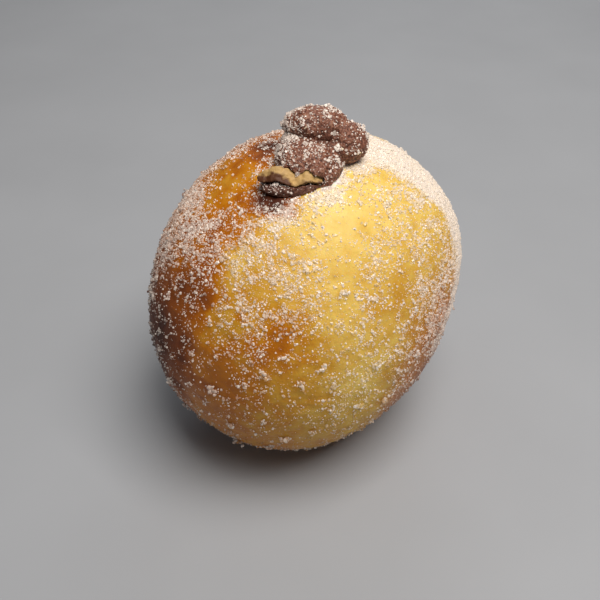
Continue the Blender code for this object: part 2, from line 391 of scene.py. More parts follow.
@dataclass(frozen=True)
class Pillow:
    """The dough's outline: a plump round pillow with a few pressed flats."""

    centre: Triple = (0.0025, -0.0010, 0.0406)
    round_radius: float = 0.0429
    half_thickness: float = 0.0362
    power: float = 2.14
    tilt: float = math.radians(10)
    sharpness: float = 26
    look: float = 0.02  # step to each side when the slope is read, in radians
    flats: tuple[tuple[Triple, float], ...] = (
        ((0.26, 0.93, 0.25), 0.0399),
        ((0.86, -0.18, -0.48), 0.0392),
        ((-0.55, 0.62, -0.56), 0.0397),
    )
    swells: tuple[Zone, ...] = (
        Zone((0.35, -0.86, -0.36), 0.55, -0.0006),
        Zone((0.25, -0.18, 0.95), 0.30, -0.0006),
        Zone((-0.10, -0.52, 0.85), 0.18, -0.0007),
        Zone((0.33, -0.33, 0.88), 0.17, 0.0008),
        Zone((-0.15, 0.35, 0.92), 0.45, -0.0013),
        Zone((0.74, 0.42, 0.52), 0.35, 0.0010),
        Zone((0.10, 0.95, -0.20), 0.60, 0.0007),
        Zone((-0.70, -0.60, -0.35), 0.35, -0.0005),
        Zone((0.86, 0.42, -0.15), 0.35, -0.0006),
        Zone((0.45, 0.62, 0.64), 0.40, -0.0005),
        Zone((-0.30, 0.75, 0.58), 0.45, -0.0005),
        Zone((0.30, -0.20, -0.93), 0.40, -0.0015),
    )

    def axis(self) -> np.ndarray:
        """The way the darker fried face looks."""
        return np.array((-math.cos(self.tilt), 0.0, math.sin(self.tilt)))

    def reach(self, aim: np.ndarray) -> np.ndarray:
        """Distance from the centre to the surface.

        Args:
            aim: Unit directions, one in each row.

        Returns:
            The distance along each direction.
        """
        along = aim @ self.axis()
        across = np.sqrt(np.clip(1 - along * along, 0.0, None))
        total = (across / self.round_radius) ** self.power
        total += (np.abs(along) / self.half_thickness) ** self.power
        total = total ** (self.sharpness / self.power)
        for heading, distance in self.flats:
            total += (np.clip(aim @ unit(heading), 0.0, None) / distance) ** self.sharpness
        return total ** (-1 / self.sharpness) + sum(zone.over(aim) for zone in self.swells)

    def normal(self, aim: np.ndarray) -> np.ndarray:
        """Outward normal of the surface.

        Args:
            aim: One unit direction.

        Returns:
            The normal where that direction meets the surface.
        """
        side = np.cross(aim, (1.0, 0.0, 0.0))
        side /= np.linalg.norm(side)
        steps = [turn * sign for turn in (side, np.cross(aim, side)) for sign in (-self.look, self.look)]
        around = np.array([unit(aim + step) for step in steps])
        points = around * self.reach(around)[:, None]
        return unit(np.cross(points[1] - points[0], points[3] - points[2]))

    def aims(self, points: np.ndarray) -> tuple[np.ndarray, np.ndarray]:
        """See points from the pillow's centre.

        Args:
            points: Places, one in each row.

        Returns:
            Unit direction and distance of each.
        """
        offset = points - np.array(self.centre)
        distance = np.linalg.norm(offset, axis=1)
        return offset / distance[:, None], distance


@dataclass(frozen=True)
class Mouth:
    """The filling hole's mouth, with its own right, back and up."""

    pillow: Pillow
    heading: Triple = (0.13, -0.17, 0.976)
    turn: float = math.radians(33)

    def frame(self) -> Matrix:
        """Find the place and turn of the mouth.

        Returns:
            A matrix from the mouth's right, back and up to the row frame.
        """
        aim = unit(self.heading)
        up = self.pillow.normal(aim)
        right = np.array((math.cos(self.turn), math.sin(self.turn), 0.0))
        right = unit(right - up * (right @ up))
        turn = Matrix((right, np.cross(up, right), up)).transposed().to_4x4()
        reach = self.pillow.reach(aim[None, :])[0]
        return Matrix.Translation(np.array(self.pillow.centre) + aim * reach) @ turn

    def local(self, points: np.ndarray) -> np.ndarray:
        """Points of the row frame as right, back and up from the mouth."""
        frame = np.array(self.frame().inverted())
        return points @ frame[:3, :3].T + frame[:3, 3]


@dataclass(frozen=True)
class Lobe:
    """One swelling of the plug: centre (right, front, up) from the mouth and half sizes."""

    centre: Triple
    half: Triple

    def depth(self, local: np.ndarray) -> np.ndarray:
        """Rough distance outside the swelling.

        Args:
            local: Points in the mouth's frame.

        Returns:
            The distance of each, negative inside.
        """
        right, front, up = self.centre
        offset = (local - np.array((right, -front, up))) / np.array(self.half)
        return (np.linalg.norm(offset, axis=1) - 1) * min(self.half)


@dataclass(frozen=True)
class PlugShape:
    """The swellings that the plug of cream is melted from."""

    mouth: Mouth
    lobes: tuple[Lobe, ...] = (
        Lobe((-0.0009, 0.0006, 0.0014), (0.0075, 0.0070, 0.0052)),
        Lobe((0.0073, -0.0042, 0.0032), (0.0051, 0.0046, 0.0051)),
        Lobe((-0.0040, 0.0058, -0.0006), (0.0068, 0.0040, 0.0028)),
        Lobe((-0.0028, -0.0036, 0.0032), (0.0036, 0.0040, 0.0036)),
        Lobe((0.0028, 0.0010, 0.0002), (0.0042, 0.0062, 0.0046)),
    )
    roll: Lobe = Lobe((0.0013, -0.0057, 0.0060), (0.0072, 0.0047, 0.0050))

    def gap(self, points: np.ndarray) -> np.ndarray:
        """Rough distance of points outside the plug, negative inside."""
        local = self.mouth.local(points)
        return np.min([lobe.depth(local) for lobe in self.lobes + (self.roll,)], axis=0)


# ---------------------------------------------------------------- finishes


@dataclass(frozen=True)
class FriedDough:
    """Fried yeast dough: an even brown skin over a pale, slightly see-through waist.

    One browning scale runs from raw yellow to dark crust, as frying does it, so every
    tone on the piece belongs to the same family.
    """

    tones: tuple[tuple[float, str], ...] = (
        (0.00, "FAE6A4"),
        (0.12, "F6DB86"),
        (0.26, "E6C25E"),
        (0.40, "D09A2E"),
        (0.52, "BF7409"),
        (0.66, "A0560F"),
        (0.82, "7A3D17"),
        (1.00, "4A2111"),
    )
    dust: str = "F6EEE7"
    # roughness at each browning: amber crust is glazed with fat, the rest is matt
    gloss: tuple[tuple[float, float], ...] = ((0.30, 0.55), (0.45, 0.34), (0.60, 0.38), (0.78, 0.62))
    ior: float = 1.46  # cooking fat on the skin
    specular: float = 0.3  # the fat lies thin and broken
    blotches: float = 330.0  # waves in a metre, so blisters 3 mm wide
    blotch_tone: float = 0.05
    specks: float = 1900.0  # waves in a metre: sugar dust, drawn at 0.5 mm so that it shows
    grain: float = 1400.0  # waves in a metre, so skin grain of 0.7 mm
    grain_height: float = 0.00025
    dust_edge: tuple[float, float] = (0.86, 1.36)
    dust_most: float = 0.94
    scatter: float = 0.18
    scatter_depth: float = 0.0025
    scatter_tone: Triple = (1.0, 0.5, 0.2)

    def tone(self, browning_and_shade: np.ndarray) -> np.ndarray:
        """Look browning values, some with painted shade in them, up on the scale.

        Args:
            browning_and_shade: One value for each place.

        Returns:
            The linear colours, one in each row.
        """
        places = [place for place, _ in self.tones]
        colours = np.array([linear(code)[:3] for _, code in self.tones])
        return np.stack([np.interp(browning_and_shade, places, colours[:, part]) for part in range(3)], axis=1)

    def build(self) -> bpy.types.Material:
        """Make the material.

        It gives a skin that glows yellow where it is pale, shines a little where it is
        amber, and turns whitish and matt where sugar dust lies on it.

        Returns:
            The material, which reads the browning, with its painted shade, and the "dusting" from the piece.
        """
        material, tree, shader = start_material("fried_dough")
        place = add(tree, "ShaderNodeTexCoord", {}, {}).outputs["Object"]
        browning_and_shade = add(tree, "ShaderNodeAttribute", {"attribute_name": "browning_and_shade"}, {}).outputs["Fac"]
        dusting = add(tree, "ShaderNodeAttribute", {"attribute_name": "dusting"}, {}).outputs["Fac"]
        noises = {
            name: add(
                tree, "ShaderNodeTexNoise", {}, {"Vector": place, "Scale": scale, "Detail": detail}
            ).outputs["Fac"]
            for name, scale, detail in (
                ("blotches", self.blotches, 3.0), ("specks", self.specks, 2.0), ("grain", self.grain, 2.0)
            )
        }
        # nearly all of a noise lies between 0.3 and 0.7
        spread = add(
            tree, "ShaderNodeMapRange", {},
            {"Value": noises["blotches"], "From Min": 0.3, "From Max": 0.7,
             "To Min": -self.blotch_tone, "To Max": self.blotch_tone},
        )
        total = add(tree, "ShaderNodeMath", {"operation": "ADD"}, {0: browning_and_shade, 1: spread.outputs["Result"]})
        ramp = add(tree, "ShaderNodeValToRGB", {}, {"Fac": total.outputs["Value"]})
        set_ramp(ramp, [(stop, linear(code)) for stop, code in self.tones])
        lifted = add(tree, "ShaderNodeMath", {"operation": "ADD"}, {0: noises["specks"], 1: dusting})
        film = add(
            tree, "ShaderNodeMapRange", {"interpolation_type": "SMOOTHSTEP"},
            {"Value": lifted.outputs["Value"], "From Min": self.dust_edge[0], "From Max": self.dust_edge[1],
             "To Min": 0.0, "To Max": self.dust_most},
        ).outputs["Result"]
        mix = add(
            tree, "ShaderNodeMix", {"data_type": "RGBA"},
            {"Factor": film, "A": ramp.outputs["Color"], "B": linear(self.dust)},
        )
        gloss = add(tree, "ShaderNodeValToRGB", {}, {"Fac": browning_and_shade})
        set_ramp(gloss, [(stop, (value, value, value, 1.0)) for stop, value in self.gloss])
        dull = add(tree, "ShaderNodeMath", {"operation": "MAXIMUM"}, {0: gloss.outputs["Color"], 1: film})
        relief = add(tree, "ShaderNodeMath", {"operation": "ADD"}, {0: noises["grain"], 1: film})
        bump = add(
            tree, "ShaderNodeBump", {},
            {"Height": relief.outputs["Value"], "Strength": 0.5, "Distance": self.grain_height},
        )
        feed(tree, shader, {
            "Base Color": mix.outputs["Result"],
            "Roughness": dull.outputs["Value"],
            "Specular IOR Level": self.specular,
            "IOR": self.ior,
            "Subsurface Weight": self.scatter,
            "Subsurface Radius": self.scatter_tone,
            "Subsurface Scale": self.scatter_depth,
            "Normal": bump.outputs["Normal"],
        })
        return material


@dataclass(frozen=True)
class HazelnutCream:
    """Chocolate and hazelnut cream, dried matt on the outside, with ground nut in it."""

    body: str = "855340"
    # the darkest paste, and also the colour of the painted shade in creases and under the flap
    deep: str = "46261B"
    nut: str = "A87C64"
    ior: float = 1.47  # cocoa butter
    roughness: float = 0.46
    nuts: float = 1700.0  # waves in a metre, so ground nut of 0.6 mm
    nut_height: float = 0.0005
    scatter: float = 0.08
    scatter_depth: float = 0.0012
    scatter_tone: Triple = (1.0, 0.45, 0.3)

    def build(self) -> bpy.types.Material:
        """Make the material.

        It gives a dry, close grain of dark paste and paler nut, which painted shade darkens nearly black
        down in the creases and under the flap.

        Returns:
            The material, which reads "hollow" from the piece.
        """
        material, tree, shader = start_material("hazelnut_cream")
        place = add(tree, "ShaderNodeTexCoord", {}, {}).outputs["Object"]
        painted_shade = add(tree, "ShaderNodeAttribute", {"attribute_name": "painted_shade"}, {}).outputs["Fac"]
        nuts = add(
            tree, "ShaderNodeTexNoise", {}, {"Vector": place, "Scale": self.nuts, "Detail": 2.0}
        ).outputs["Fac"]
        ramp = add(tree, "ShaderNodeValToRGB", {}, {"Fac": nuts})
        set_ramp(ramp, [(0.30, linear(self.deep)), (0.52, linear(self.body)), (0.74, linear(self.nut))])
        # painted shade: darker in the creases and under the flap
        shade = add(
            tree, "ShaderNodeMix", {"data_type": "RGBA"},
            {"Factor": painted_shade, "A": ramp.outputs["Color"], "B": linear(self.deep)},
        )
        bump = add(
            tree, "ShaderNodeBump", {}, {"Height": nuts, "Strength": 1.0, "Distance": self.nut_height}
        )
        feed(tree, shader, {
            "Base Color": shade.outputs["Result"],
            "Roughness": self.roughness,
            "IOR": self.ior,
            "Subsurface Weight": self.scatter,
            "Subsurface Radius": self.scatter_tone,
            "Subsurface Scale": self.scatter_depth,
            "Normal": bump.outputs["Normal"],
        })
        return material


@dataclass(frozen=True)
class TornCrust:
    """Torn fried crust: a tan crumb edge above a brown fried skin, with painted shade darkening it toward
    the lower, outer edge.
    """

    crumb: str = "C6A267"
    # the fried skin's tone, and also the colour of the painted shade on the flap's outer edge
    skin: str = "562E13"
    ior: float = 1.46
    roughness: float = 0.6
    pores: float = 1200.0  # waves in a metre, so crumb pores of 0.8 mm
    pore_tone: float = 0.25
    pore_height: float = 0.0003

    def build(self) -> bpy.types.Material:
        """Make the material.

        It gives a dry, porous, tan rim whose edge runs unevenly into dark skin and painted shade.

        Returns:
            The material, which reads the dark skin and painted shade from the piece.
        """
        material, tree, shader = start_material("torn_crust")
        place = add(tree, "ShaderNodeTexCoord", {}, {}).outputs["Object"]
        skin_and_shade = add(tree, "ShaderNodeAttribute", {"attribute_name": "browning_and_shade"}, {}).outputs["Fac"]
        pores = add(
            tree, "ShaderNodeTexNoise", {}, {"Vector": place, "Scale": self.pores, "Detail": 3.0}
        ).outputs["Fac"]
        spread = add(
            tree, "ShaderNodeMapRange", {},
            {"Value": pores, "From Min": 0.3, "From Max": 0.7,
             "To Min": -self.pore_tone, "To Max": self.pore_tone},
        )
        total = add(tree, "ShaderNodeMath", {"operation": "ADD"}, {0: skin_and_shade, 1: spread.outputs["Result"]})
        ramp = add(tree, "ShaderNodeValToRGB", {}, {"Fac": total.outputs["Value"]})
        # from tan crumb to dark skin, which is partly painted shade
        set_ramp(ramp, [(0.1, linear(self.crumb)), (0.9, linear(self.skin))])
        bump = add(
            tree, "ShaderNodeBump", {}, {"Height": pores, "Strength": 0.6, "Distance": self.pore_height}
        )
        feed(tree, shader, {
            "Base Color": ramp.outputs["Color"],
            "Roughness": self.roughness,
            "IOR": self.ior,
            "Normal": bump.outputs["Normal"],
        })
        return material


@dataclass(frozen=True)
class GranulatedSugar:
    """Granulated sugar: clear crystals that look white and take up some of the crust's tone."""

    white: str = "FFF4EA"
    clearest: float = 0.95  # most of a crystal's tone that comes from what it lies on
    glow_through: float = 0.50  # how far a facet is lit as the surface under it is
    lit_from_behind: float = 0.12
    light_passed: float = 0.80  # light that a crystal lets through to what it shades
    ior: float = 1.56  # sucrose
    roughness: float = 0.25

    def build(self) -> bpy.types.Material:
        """Make the material.

        It gives white grains that sparkle on a facet here and there, have no black
        side, and lay only a light shadow.

        Returns:
            The material, which reads "tint" and "outward" from the piece.
        """
        material, tree, shader = start_material("granulated_sugar")
        # Cycles' correction of bumps would blacken each facet that the mixed normal leaves behind
        material.cycles.use_bump_map_correction = False
        tint = add(tree, "ShaderNodeAttribute", {"attribute_name": "tint"}, {}).outputs["Color"]
        # light wanders through a crystal, so its far faces are nearly as bright as the lit ones
        outward = add(tree, "ShaderNodeAttribute", {"attribute_name": "outward"}, {}).outputs["Vector"]
        facet = add(tree, "ShaderNodeNewGeometry", {}, {}).outputs["Normal"]
        even = add(
            tree, "ShaderNodeMix", {"data_type": "VECTOR"},
            {"Factor": self.glow_through, 4: facet, 5: outward},
        )
        level = add(tree, "ShaderNodeVectorMath", {"operation": "NORMALIZE"}, {0: even.outputs[1]})
        feed(tree, shader, {
            "Base Color": tint,
            "Roughness": self.roughness,
            "IOR": self.ior,
            "Normal": level.outputs["Vector"],
        })
        through = add(tree, "ShaderNodeBsdfTranslucent", {}, {"Color": tint}).outputs["BSDF"]
        body = add(
            tree, "ShaderNodeMixShader", {},
            {"Fac": self.lit_from_behind, 1: shader.outputs["BSDF"], 2: through},
        )
        # a clear crystal casts a light shadow
        shadow = add(tree, "ShaderNodeLightPath", {}, {}).outputs["Is Shadow Ray"]
        share = add(tree, "ShaderNodeMath", {"operation": "MULTIPLY"}, {0: shadow, 1: self.light_passed})
        clear = add(tree, "ShaderNodeBsdfTransparent", {}, {}).outputs["BSDF"]
        whole = add(
            tree, "ShaderNodeMixShader", {},
            {"Fac": share.outputs["Value"], 1: body.outputs["Shader"], 2: clear},
        )
        feed(tree, tree.nodes["Material Output"], {"Surface": whole.outputs["Shader"]})
        return material


# ---------------------------------------------------------------- the dough


@dataclass
class Dough:
    """The fried pillow with its rest flat and filling hole."""

    pillow: Pillow
    mouth: Mouth
    plug: PlugShape
    finish: FriedDough
    cuts: tuple[int, ...] = (29, 3)
    hole_width: float = 0.0112
    hole_breadth: float = 0.0096
    hole_depth: float = 0.0300
    hole_sides: int = 40
    hole_end: float = 0.03  # bulge of the hole's end, as a share of its depth
    seat_gap: float = 0.0003
    # depth and width of each ring of the hole, as shares of its own
    rounds: tuple[tuple[float, float], ...] = (
        (-0.10, 0.96), (0.0, 1.0), (0.2, 0.95), (0.45, 0.86), (0.70, 0.75), (0.88, 0.60), (0.97, 0.36),
    )
    # low relief of the skin, which fades toward the hole's rim
    dimples: Waves = Waves(0.00022, 0.008, 3, 5.0)
    grain: Waves = Waves(0.00012, 0.0024, 2, 14.0)
    pleats: Waves = Waves(0.00016, 0.004, 1, 40.0)
    pleat_stretch: Triple = (1.0, 1.0, 0.3)
    pleated: Step = Step(0.1, 0.5)
    calm: float = 0.6  # how much flatter the bare patches are
    sunk: float = 0.00012  # keeps the relief inside the solid
    rim: Step = Step(0.006, 0.012)
    # browning: the waist's own, then what the fried faces add, and a darkening of the underside that is
    # partly browning and partly painted shade
    waist: float = 0.24
    face_edge: Step = Step(0.02, 0.22, 0.33)
    face_heart: Step = Step(0.12, 0.55, 0.33)
    low_heart: Step = Step(-0.80, 0.10)
    far_heart: Step = Step(0.74, 1.00, 0.22)
    underside: Step = Step(-0.60, 0.40, 0.26)
    off_face: Step = Step(0.0, 0.3)
    wander: Waves = Waves(0.045, 0.011, 3, 3.1)
    fray: tuple[Waves, ...] = tuple(Waves(0.06, 0.006, 2, shift) for shift in (81.0, 83.0, 85.0))
    streaks: Waves = Waves(1.0, 0.0052, 2, 15.0)
    streaked: Step = Step(0.12, 0.55)
    near_face: Step = Step(-0.25, 0.05)
    streak_tone: float = 0.10
    mottle: Waves = Waves(0.04, 0.006, 3, 9.0)
    palest: float = 0.02
    # patches that fried darker or stayed paler
    tones: tuple[Zone, ...] = (
        Zone((-0.21, -0.35, 0.91), 0.25, -0.11, 3.0),
        Zone((-0.16, -0.14, 0.97), 0.11, 0.46),
        Zone((-0.10, -0.84, 0.53), 0.13, 0.14),
        Zone((0.33, -0.31, 0.89), 0.22, -0.10),
        Zone((0.42, -0.81, 0.40), 0.10, 0.17),
        Zone((0.33, -0.87, 0.37), 0.12, 0.10),
        Zone((0.82, -0.32, 0.47), 0.26, 0.14),
        Zone((0.84, 0.15, 0.51), 0.22, 0.10),
        Zone((0.04, -0.62, 0.785), 0.07, 0.15),
        Zone((0.14, -0.40, 0.905), 0.07, 0.45),
        Zone((0.15, -0.87, 0.47), 0.27, 0.07),
        Zone((0.28, -0.72, 0.63), 0.26, 0.10),
        Zone((0.84, -0.50, -0.18), 0.46, -0.21),
        Zone((0.52, -0.80, 0.26), 0.24, 0.12),
        Zone((0.16, -0.96, 0.22), 0.22, 0.08),
        Zone((0.05, -0.99, 0.10), 0.30, 0.12),
        Zone((-0.30, -0.94, 0.15), 0.30, 0.16),
        Zone((-0.90, 0.20, -0.20), 0.60, 0.05),
        Zone((0.20, 0.70, 0.60), 0.35, -0.05),
    )
    # cream that ran out under the flap and soaked in
    smear: Zone = Zone((0.075, -0.445, 0.89), 0.100, 0.66)
    smear_clears: float = 1.5
    smear_most: float = 0.9  # most of the sugar that the smear takes up
    # where sugar lies thicker or thinner
    sugar: tuple[Zone, ...] = (
        Zone((-0.32, -0.59, 0.74), 0.30, 0.56),
        Zone((0.09, -0.86, 0.50), 0.30, 0.12),
        Zone((0.18, -0.62, 0.76), 0.27, 0.20),
        Zone((0.17, -0.58, 0.795), 0.10, 0.55),
        Zone((0.24, -0.54, 0.81), 0.10, 0.35),
        Zone((0.25, -0.77, 0.59), 0.11, 0.32),
        Zone((0.94, -0.24, 0.22), 0.26, 0.30),
        Zone((0.66, 0.09, 0.745), 0.13, 0.35),
        Zone((-0.30, 0.55, 0.60), 0.50, 0.20),
        Zone((-0.95, 0.0, 0.2), 0.50, 0.10),
    )
    bare: tuple[Zone, ...] = (
        Zone((-0.19, -0.38, 0.905), 0.235, 0.97, 4.0),
        Zone((0.38, -0.27, 0.885), 0.205, 0.97, 4.0),
        Zone((-0.36, -0.93, 0.12), 0.36, 0.78),
        Zone((0.00, -1.00, 0.00), 0.30, 0.35),
        Zone((0.50, -0.82, 0.28), 0.24, 0.52),
        Zone((0.84, -0.50, 0.22), 0.12, 0.35),
        Zone((0.28, -0.955, 0.05), 0.14, 0.40),
        Zone((0.14, -0.96, 0.24), 0.24, 0.45),
        Zone((-0.14, -0.98, 0.14), 0.22, 0.40),
        Zone((0.77, -0.47, 0.43), 0.26, 0.42),
        Zone((0.24, -0.395, 0.89), 0.06, 0.30),
        Zone((-0.06, -0.72, 0.69), 0.16, 0.40),
        Zone((-0.07, -0.27, 0.96), 0.09, 0.65),
        Zone((-0.16, -0.14, 0.97), 0.12, 0.75),
        Zone((-0.28, -0.86, 0.42), 0.18, 0.40),
        Zone((0.79, -0.30, 0.53), 0.13, 0.70),
    )
    cover: float = 0.30
    low_cover: float = 0.14  # share of the sugar that stays on the underside
    settled: Step = Step(-0.50, 0.55, 0.86)
    drift_cover: float = 0.5
    bank_cover: float = 2.6
    most_cover: float = 2.6
    # the band of sugar against the plug, thin on the left and full on the right
    bank_width: float = 0.0018
    bank_fray: Waves = Waves(0.0012, 0.004, 1, 61.0)
    bank_left: float = 0.30
    bank_right: Step = Step(-0.0005, 0.0045, 0.70)
    bank_low: Step = Step(-0.020, -0.008)
    # the closed layer on the shoulder: its middle, the side it stops short of, its worn back
    drift: Triple = (0.60, 0.55, 0.58)
    drift_reach: Step = Step(0.40, 0.82)
    drift_fray: Waves = Waves(0.030, 0.14, 3, 71.0)
    fray_reach: float = 3.0  # how much more the layer's outer edge frays
    near_side: Triple = (0.747, -0.486, 0.454)
    drift_limit: float = 0.70
    drift_edge: Step = Step(-0.01, 0.06)
    gaps: Waves = Waves(1.0, 0.20, 3, 77.0)
    worn: Step = Step(0.0, 0.4)
    back_limit: float = 0.50
    worn_back: Step = Step(0.0, 0.25)
    most_worn: float = 0.7
    # how loose sugar gathers: a mean and chains, clusters and beds about it
    loose: float = 0.72
    chains: Waves = Waves(1.1, 0.0017, 1, 21.0)
    clusters: Waves = Waves(0.9, 0.0042, 2, 27.0)
    beds: Waves = Waves(0.9, 0.0085, 2, 33.0)
    loose_range: tuple[float, float] = (0.05, 2.4)
    # the film of dust between the grains
    dust_share: float = 0.48
    dust_clumped: float = 0.6
    dust_drift: float = 0.75
    dust_bank: float = 0.1
    dust_off: Step = Step(0.2, 0.6, 0.55)

    def browning_and_shade(self, points: np.ndarray) -> np.ndarray:
        """Find how brown the crust is, with painted shade on the underside.

        Returns:
            The browning and painted shade of each, 0 to 1.
        """
        aim, _ = self.pillow.aims(points)
        face = aim @ self.pillow.axis() + self.wander.at(points)
        down = -aim[:, 2]
        brown = self.waist + self.face_edge.at(face) + self.face_heart.at(face) * self.low_heart.at(down)
        brown += self.far_heart.at(-face)
        # the underside darkens: partly browning, partly painted shade
        brown += self.underside.at(down) * (1 - self.off_face.at(face))
        ragged = aim + np.stack([wave.at(points) for wave in self.fray], axis=1)
        ragged /= np.linalg.norm(ragged, axis=1, keepdims=True)
        brown += sum(zone.over(ragged) for zone in self.tones) + self.smear.over(ragged)
        streaks = self.streaked.at(self.streaks.at(points)) * self.near_face.at(face)
        brown += self.mottle.at(points) + self.streak_tone * streaks
        return np.clip(brown, self.palest, 1.0)

    def sugar_share(self, points: np.ndarray) -> np.ndarray:
        """Find how thickly sugar lies, before it clumps.

        Args:
            points: Places on the crust.

        Returns:
            The thickness at each, where 1 is a full layer.
        """
        aim, _ = self.pillow.aims(points)
        share = self.cover + sum(zone.over(aim) for zone in self.sugar)
        share *= self.low_cover + self.settled.at(aim[:, 2])
        for zone in self.bare:
            share *= 1 - zone.over(aim)
        share += self.drift_cover * self.drifted(aim)
        kept = 1 - np.clip(self.smear_clears * self.smear.over(aim), 0, self.smear_most)
        return np.clip((share + self.bank_cover * self.banked(points)) * kept, 0.0, self.most_cover)

    def banked(self, points: np.ndarray) -> np.ndarray:
        """Find the band of sugar against the foot of the plug.

        Args:
            points: Places on the crust.

        Returns:
            The band's strength at each, 0 to 1.
        """
        local = self.mouth.local(points)
        width = self.bank_width + self.bank_fray.at(points)
        band = np.exp(-((np.maximum(self.plug.gap(points), 0.0) / width) ** 2))
        right = self.bank_left + self.bank_right.at(local[:, 0])
        return band * right * self.bank_low.at(local[:, 2])

    def drifted(self, aim: np.ndarray) -> np.ndarray:
        """Find the shoulder where sugar lies in a closed layer.

        Args:
            aim: Unit directions from the pillow's centre.

        Returns:
            The layer's strength along each, 0 to 1.
        """
        frayed = self.drift_fray.at(aim)
        near = aim @ unit(self.near_side)
        beyond = self.drift_edge.at(self.drift_limit - near + frayed)
        thin = self.worn.at(self.gaps.at(aim)) * self.worn_back.at(self.back_limit - near)
        reached = self.drift_reach.at(aim @ unit(self.drift) + self.fray_reach * frayed)
        return beyond * reached * (1 - self.most_worn * thin)

    def clumps(self, points: np.ndarray) -> np.ndarray:
        """Chains and clusters that loose sugar gathers in, about 0 to 2."""
        knots = self.chains.at(points) + self.clusters.at(points)
        return np.clip(self.loose + knots + self.beds.at(points), *self.loose_range)

    def dusting(self, points: np.ndarray) -> np.ndarray:
        """Find how full the film of sugar dust is.

        Args:
            points: Places on the crust.

        Returns:
            The film's strength at each, 0 to 1.
        """
        aim, _ = self.pillow.aims(points)
        gathered = 1 - self.dust_clumped + self.dust_clumped * self.clumps(points)
        dust = self.dust_share * self.sugar_share(points) * gathered + self.dust_drift * self.drifted(aim)
        dust += self.dust_bank * self.banked(points)
        dust *= 1 - self.dust_off.at(aim @ self.pillow.axis())
        return np.clip(dust, 0.0, 1.0)

    def stem(self, grow: float) -> bpy.types.Object:
        """Make the tapering root shape that the hole is cut with and the plug stands on.

        Args:
            grow: Clearance added all round.

        Returns:
            The closed shape, in place.
        """
        deselect()
        width, depth = self.hole_width / 2, self.hole_depth
        first, scale = self.rounds[0]
        bpy.ops.mesh.primitive_circle_add(
            vertices=self.hole_sides, radius=width * scale + grow, fill_type="NGON",
            location=(0, 0, -first * depth),
        )
        item = bpy.context.active_object
        bpy.ops.object.mode_set(mode="EDIT")
        bpy.ops.mesh.select_all(action="SELECT")
        for (upper, wide), (lower, narrow) in zip(self.rounds, self.rounds[1:]):
            down = {"value": (0, 0, (upper - lower) * depth)}
            bpy.ops.mesh.extrude_region_move(TRANSFORM_OT_translate=down)
            size = (width * narrow + grow) / (width * wide + grow)
            bpy.ops.transform.resize(value=(size, size, 1), center_override=(0, 0, -lower * depth))
        bpy.ops.mesh.poke(offset=-self.hole_end * depth - grow)
        bpy.ops.object.mode_set(mode="OBJECT")
        oval = (self.hole_breadth / 2 + grow) / (width + grow)
        take(item)
        bpy.ops.object.transform_apply(location=True, rotation=True, scale=True)
        item.data.transform(self.mouth.frame() @ Matrix.Diagonal((1.0, oval, 1.0, 1.0)))
        tidy(item)
        return item

    def body(self, name: str, cuts: tuple[int, ...], grow: float = 0.0) -> bpy.types.Object:
        """Make the whole pillow, without relief.

        Args:
            name: The object's name.
            cuts: Cuts of each round of subdivision.
            grow: How much larger it is, all round.

        Returns:
            The pillow.
        """
        item = cube_ball(name, cuts)
        aim = points_of(item.data)
        move_points(item.data, np.array(self.pillow.centre) + aim * (self.pillow.reach(aim) + grow)[:, None])
        return item

    def relief(self, points: np.ndarray) -> np.ndarray:
        """Find the skin's low relief.

        Args:
            points: Places on the smooth pillow.

        Returns:
            The height at each, in metres.
        """
        aim, _ = self.pillow.aims(points)
        pleats = np.abs(self.pleats.at(points * self.pleat_stretch))
        pleats = pleats * self.pleated.at(-aim @ self.pillow.axis())
        quiet = 1 - self.calm * np.clip(sum(zone.over(aim) for zone in self.bare), 0, 1)
        return self.dimples.at(points) + (self.grain.at(points) + pleats) * quiet - self.sunk

    def build(self) -> bpy.types.Object:
        """Make the fine dough piece.

        Returns:
            The piece, dressed and tied to the frame.
        """
        item = self.body("dough_skin", self.cuts)
        points = points_of(item.data)
        aim, distance = self.pillow.aims(points)
        height = self.relief(points) * self.rim.at(np.linalg.norm(self.mouth.local(points), axis=1))
        points = np.array(self.pillow.centre) + aim * (distance + height)[:, None]
        points[:, 2] = np.maximum(points[:, 2], 0.0)
        move_points(item.data, points)
        cut(item, self.stem(self.seat_gap), "DIFFERENCE")
        tidy(item)
        points = points_of(item.data)
        # browning, with painted shade on the underside
        write_values(item.data, "browning_and_shade", self.browning_and_shade(points))
        write_values(item.data, "dusting", self.dusting(points))
        item.data.shade_smooth()
        finish_piece(item, self.finish.build(), "dough")
        return item


# ---------------------------------------------------------------- the flap


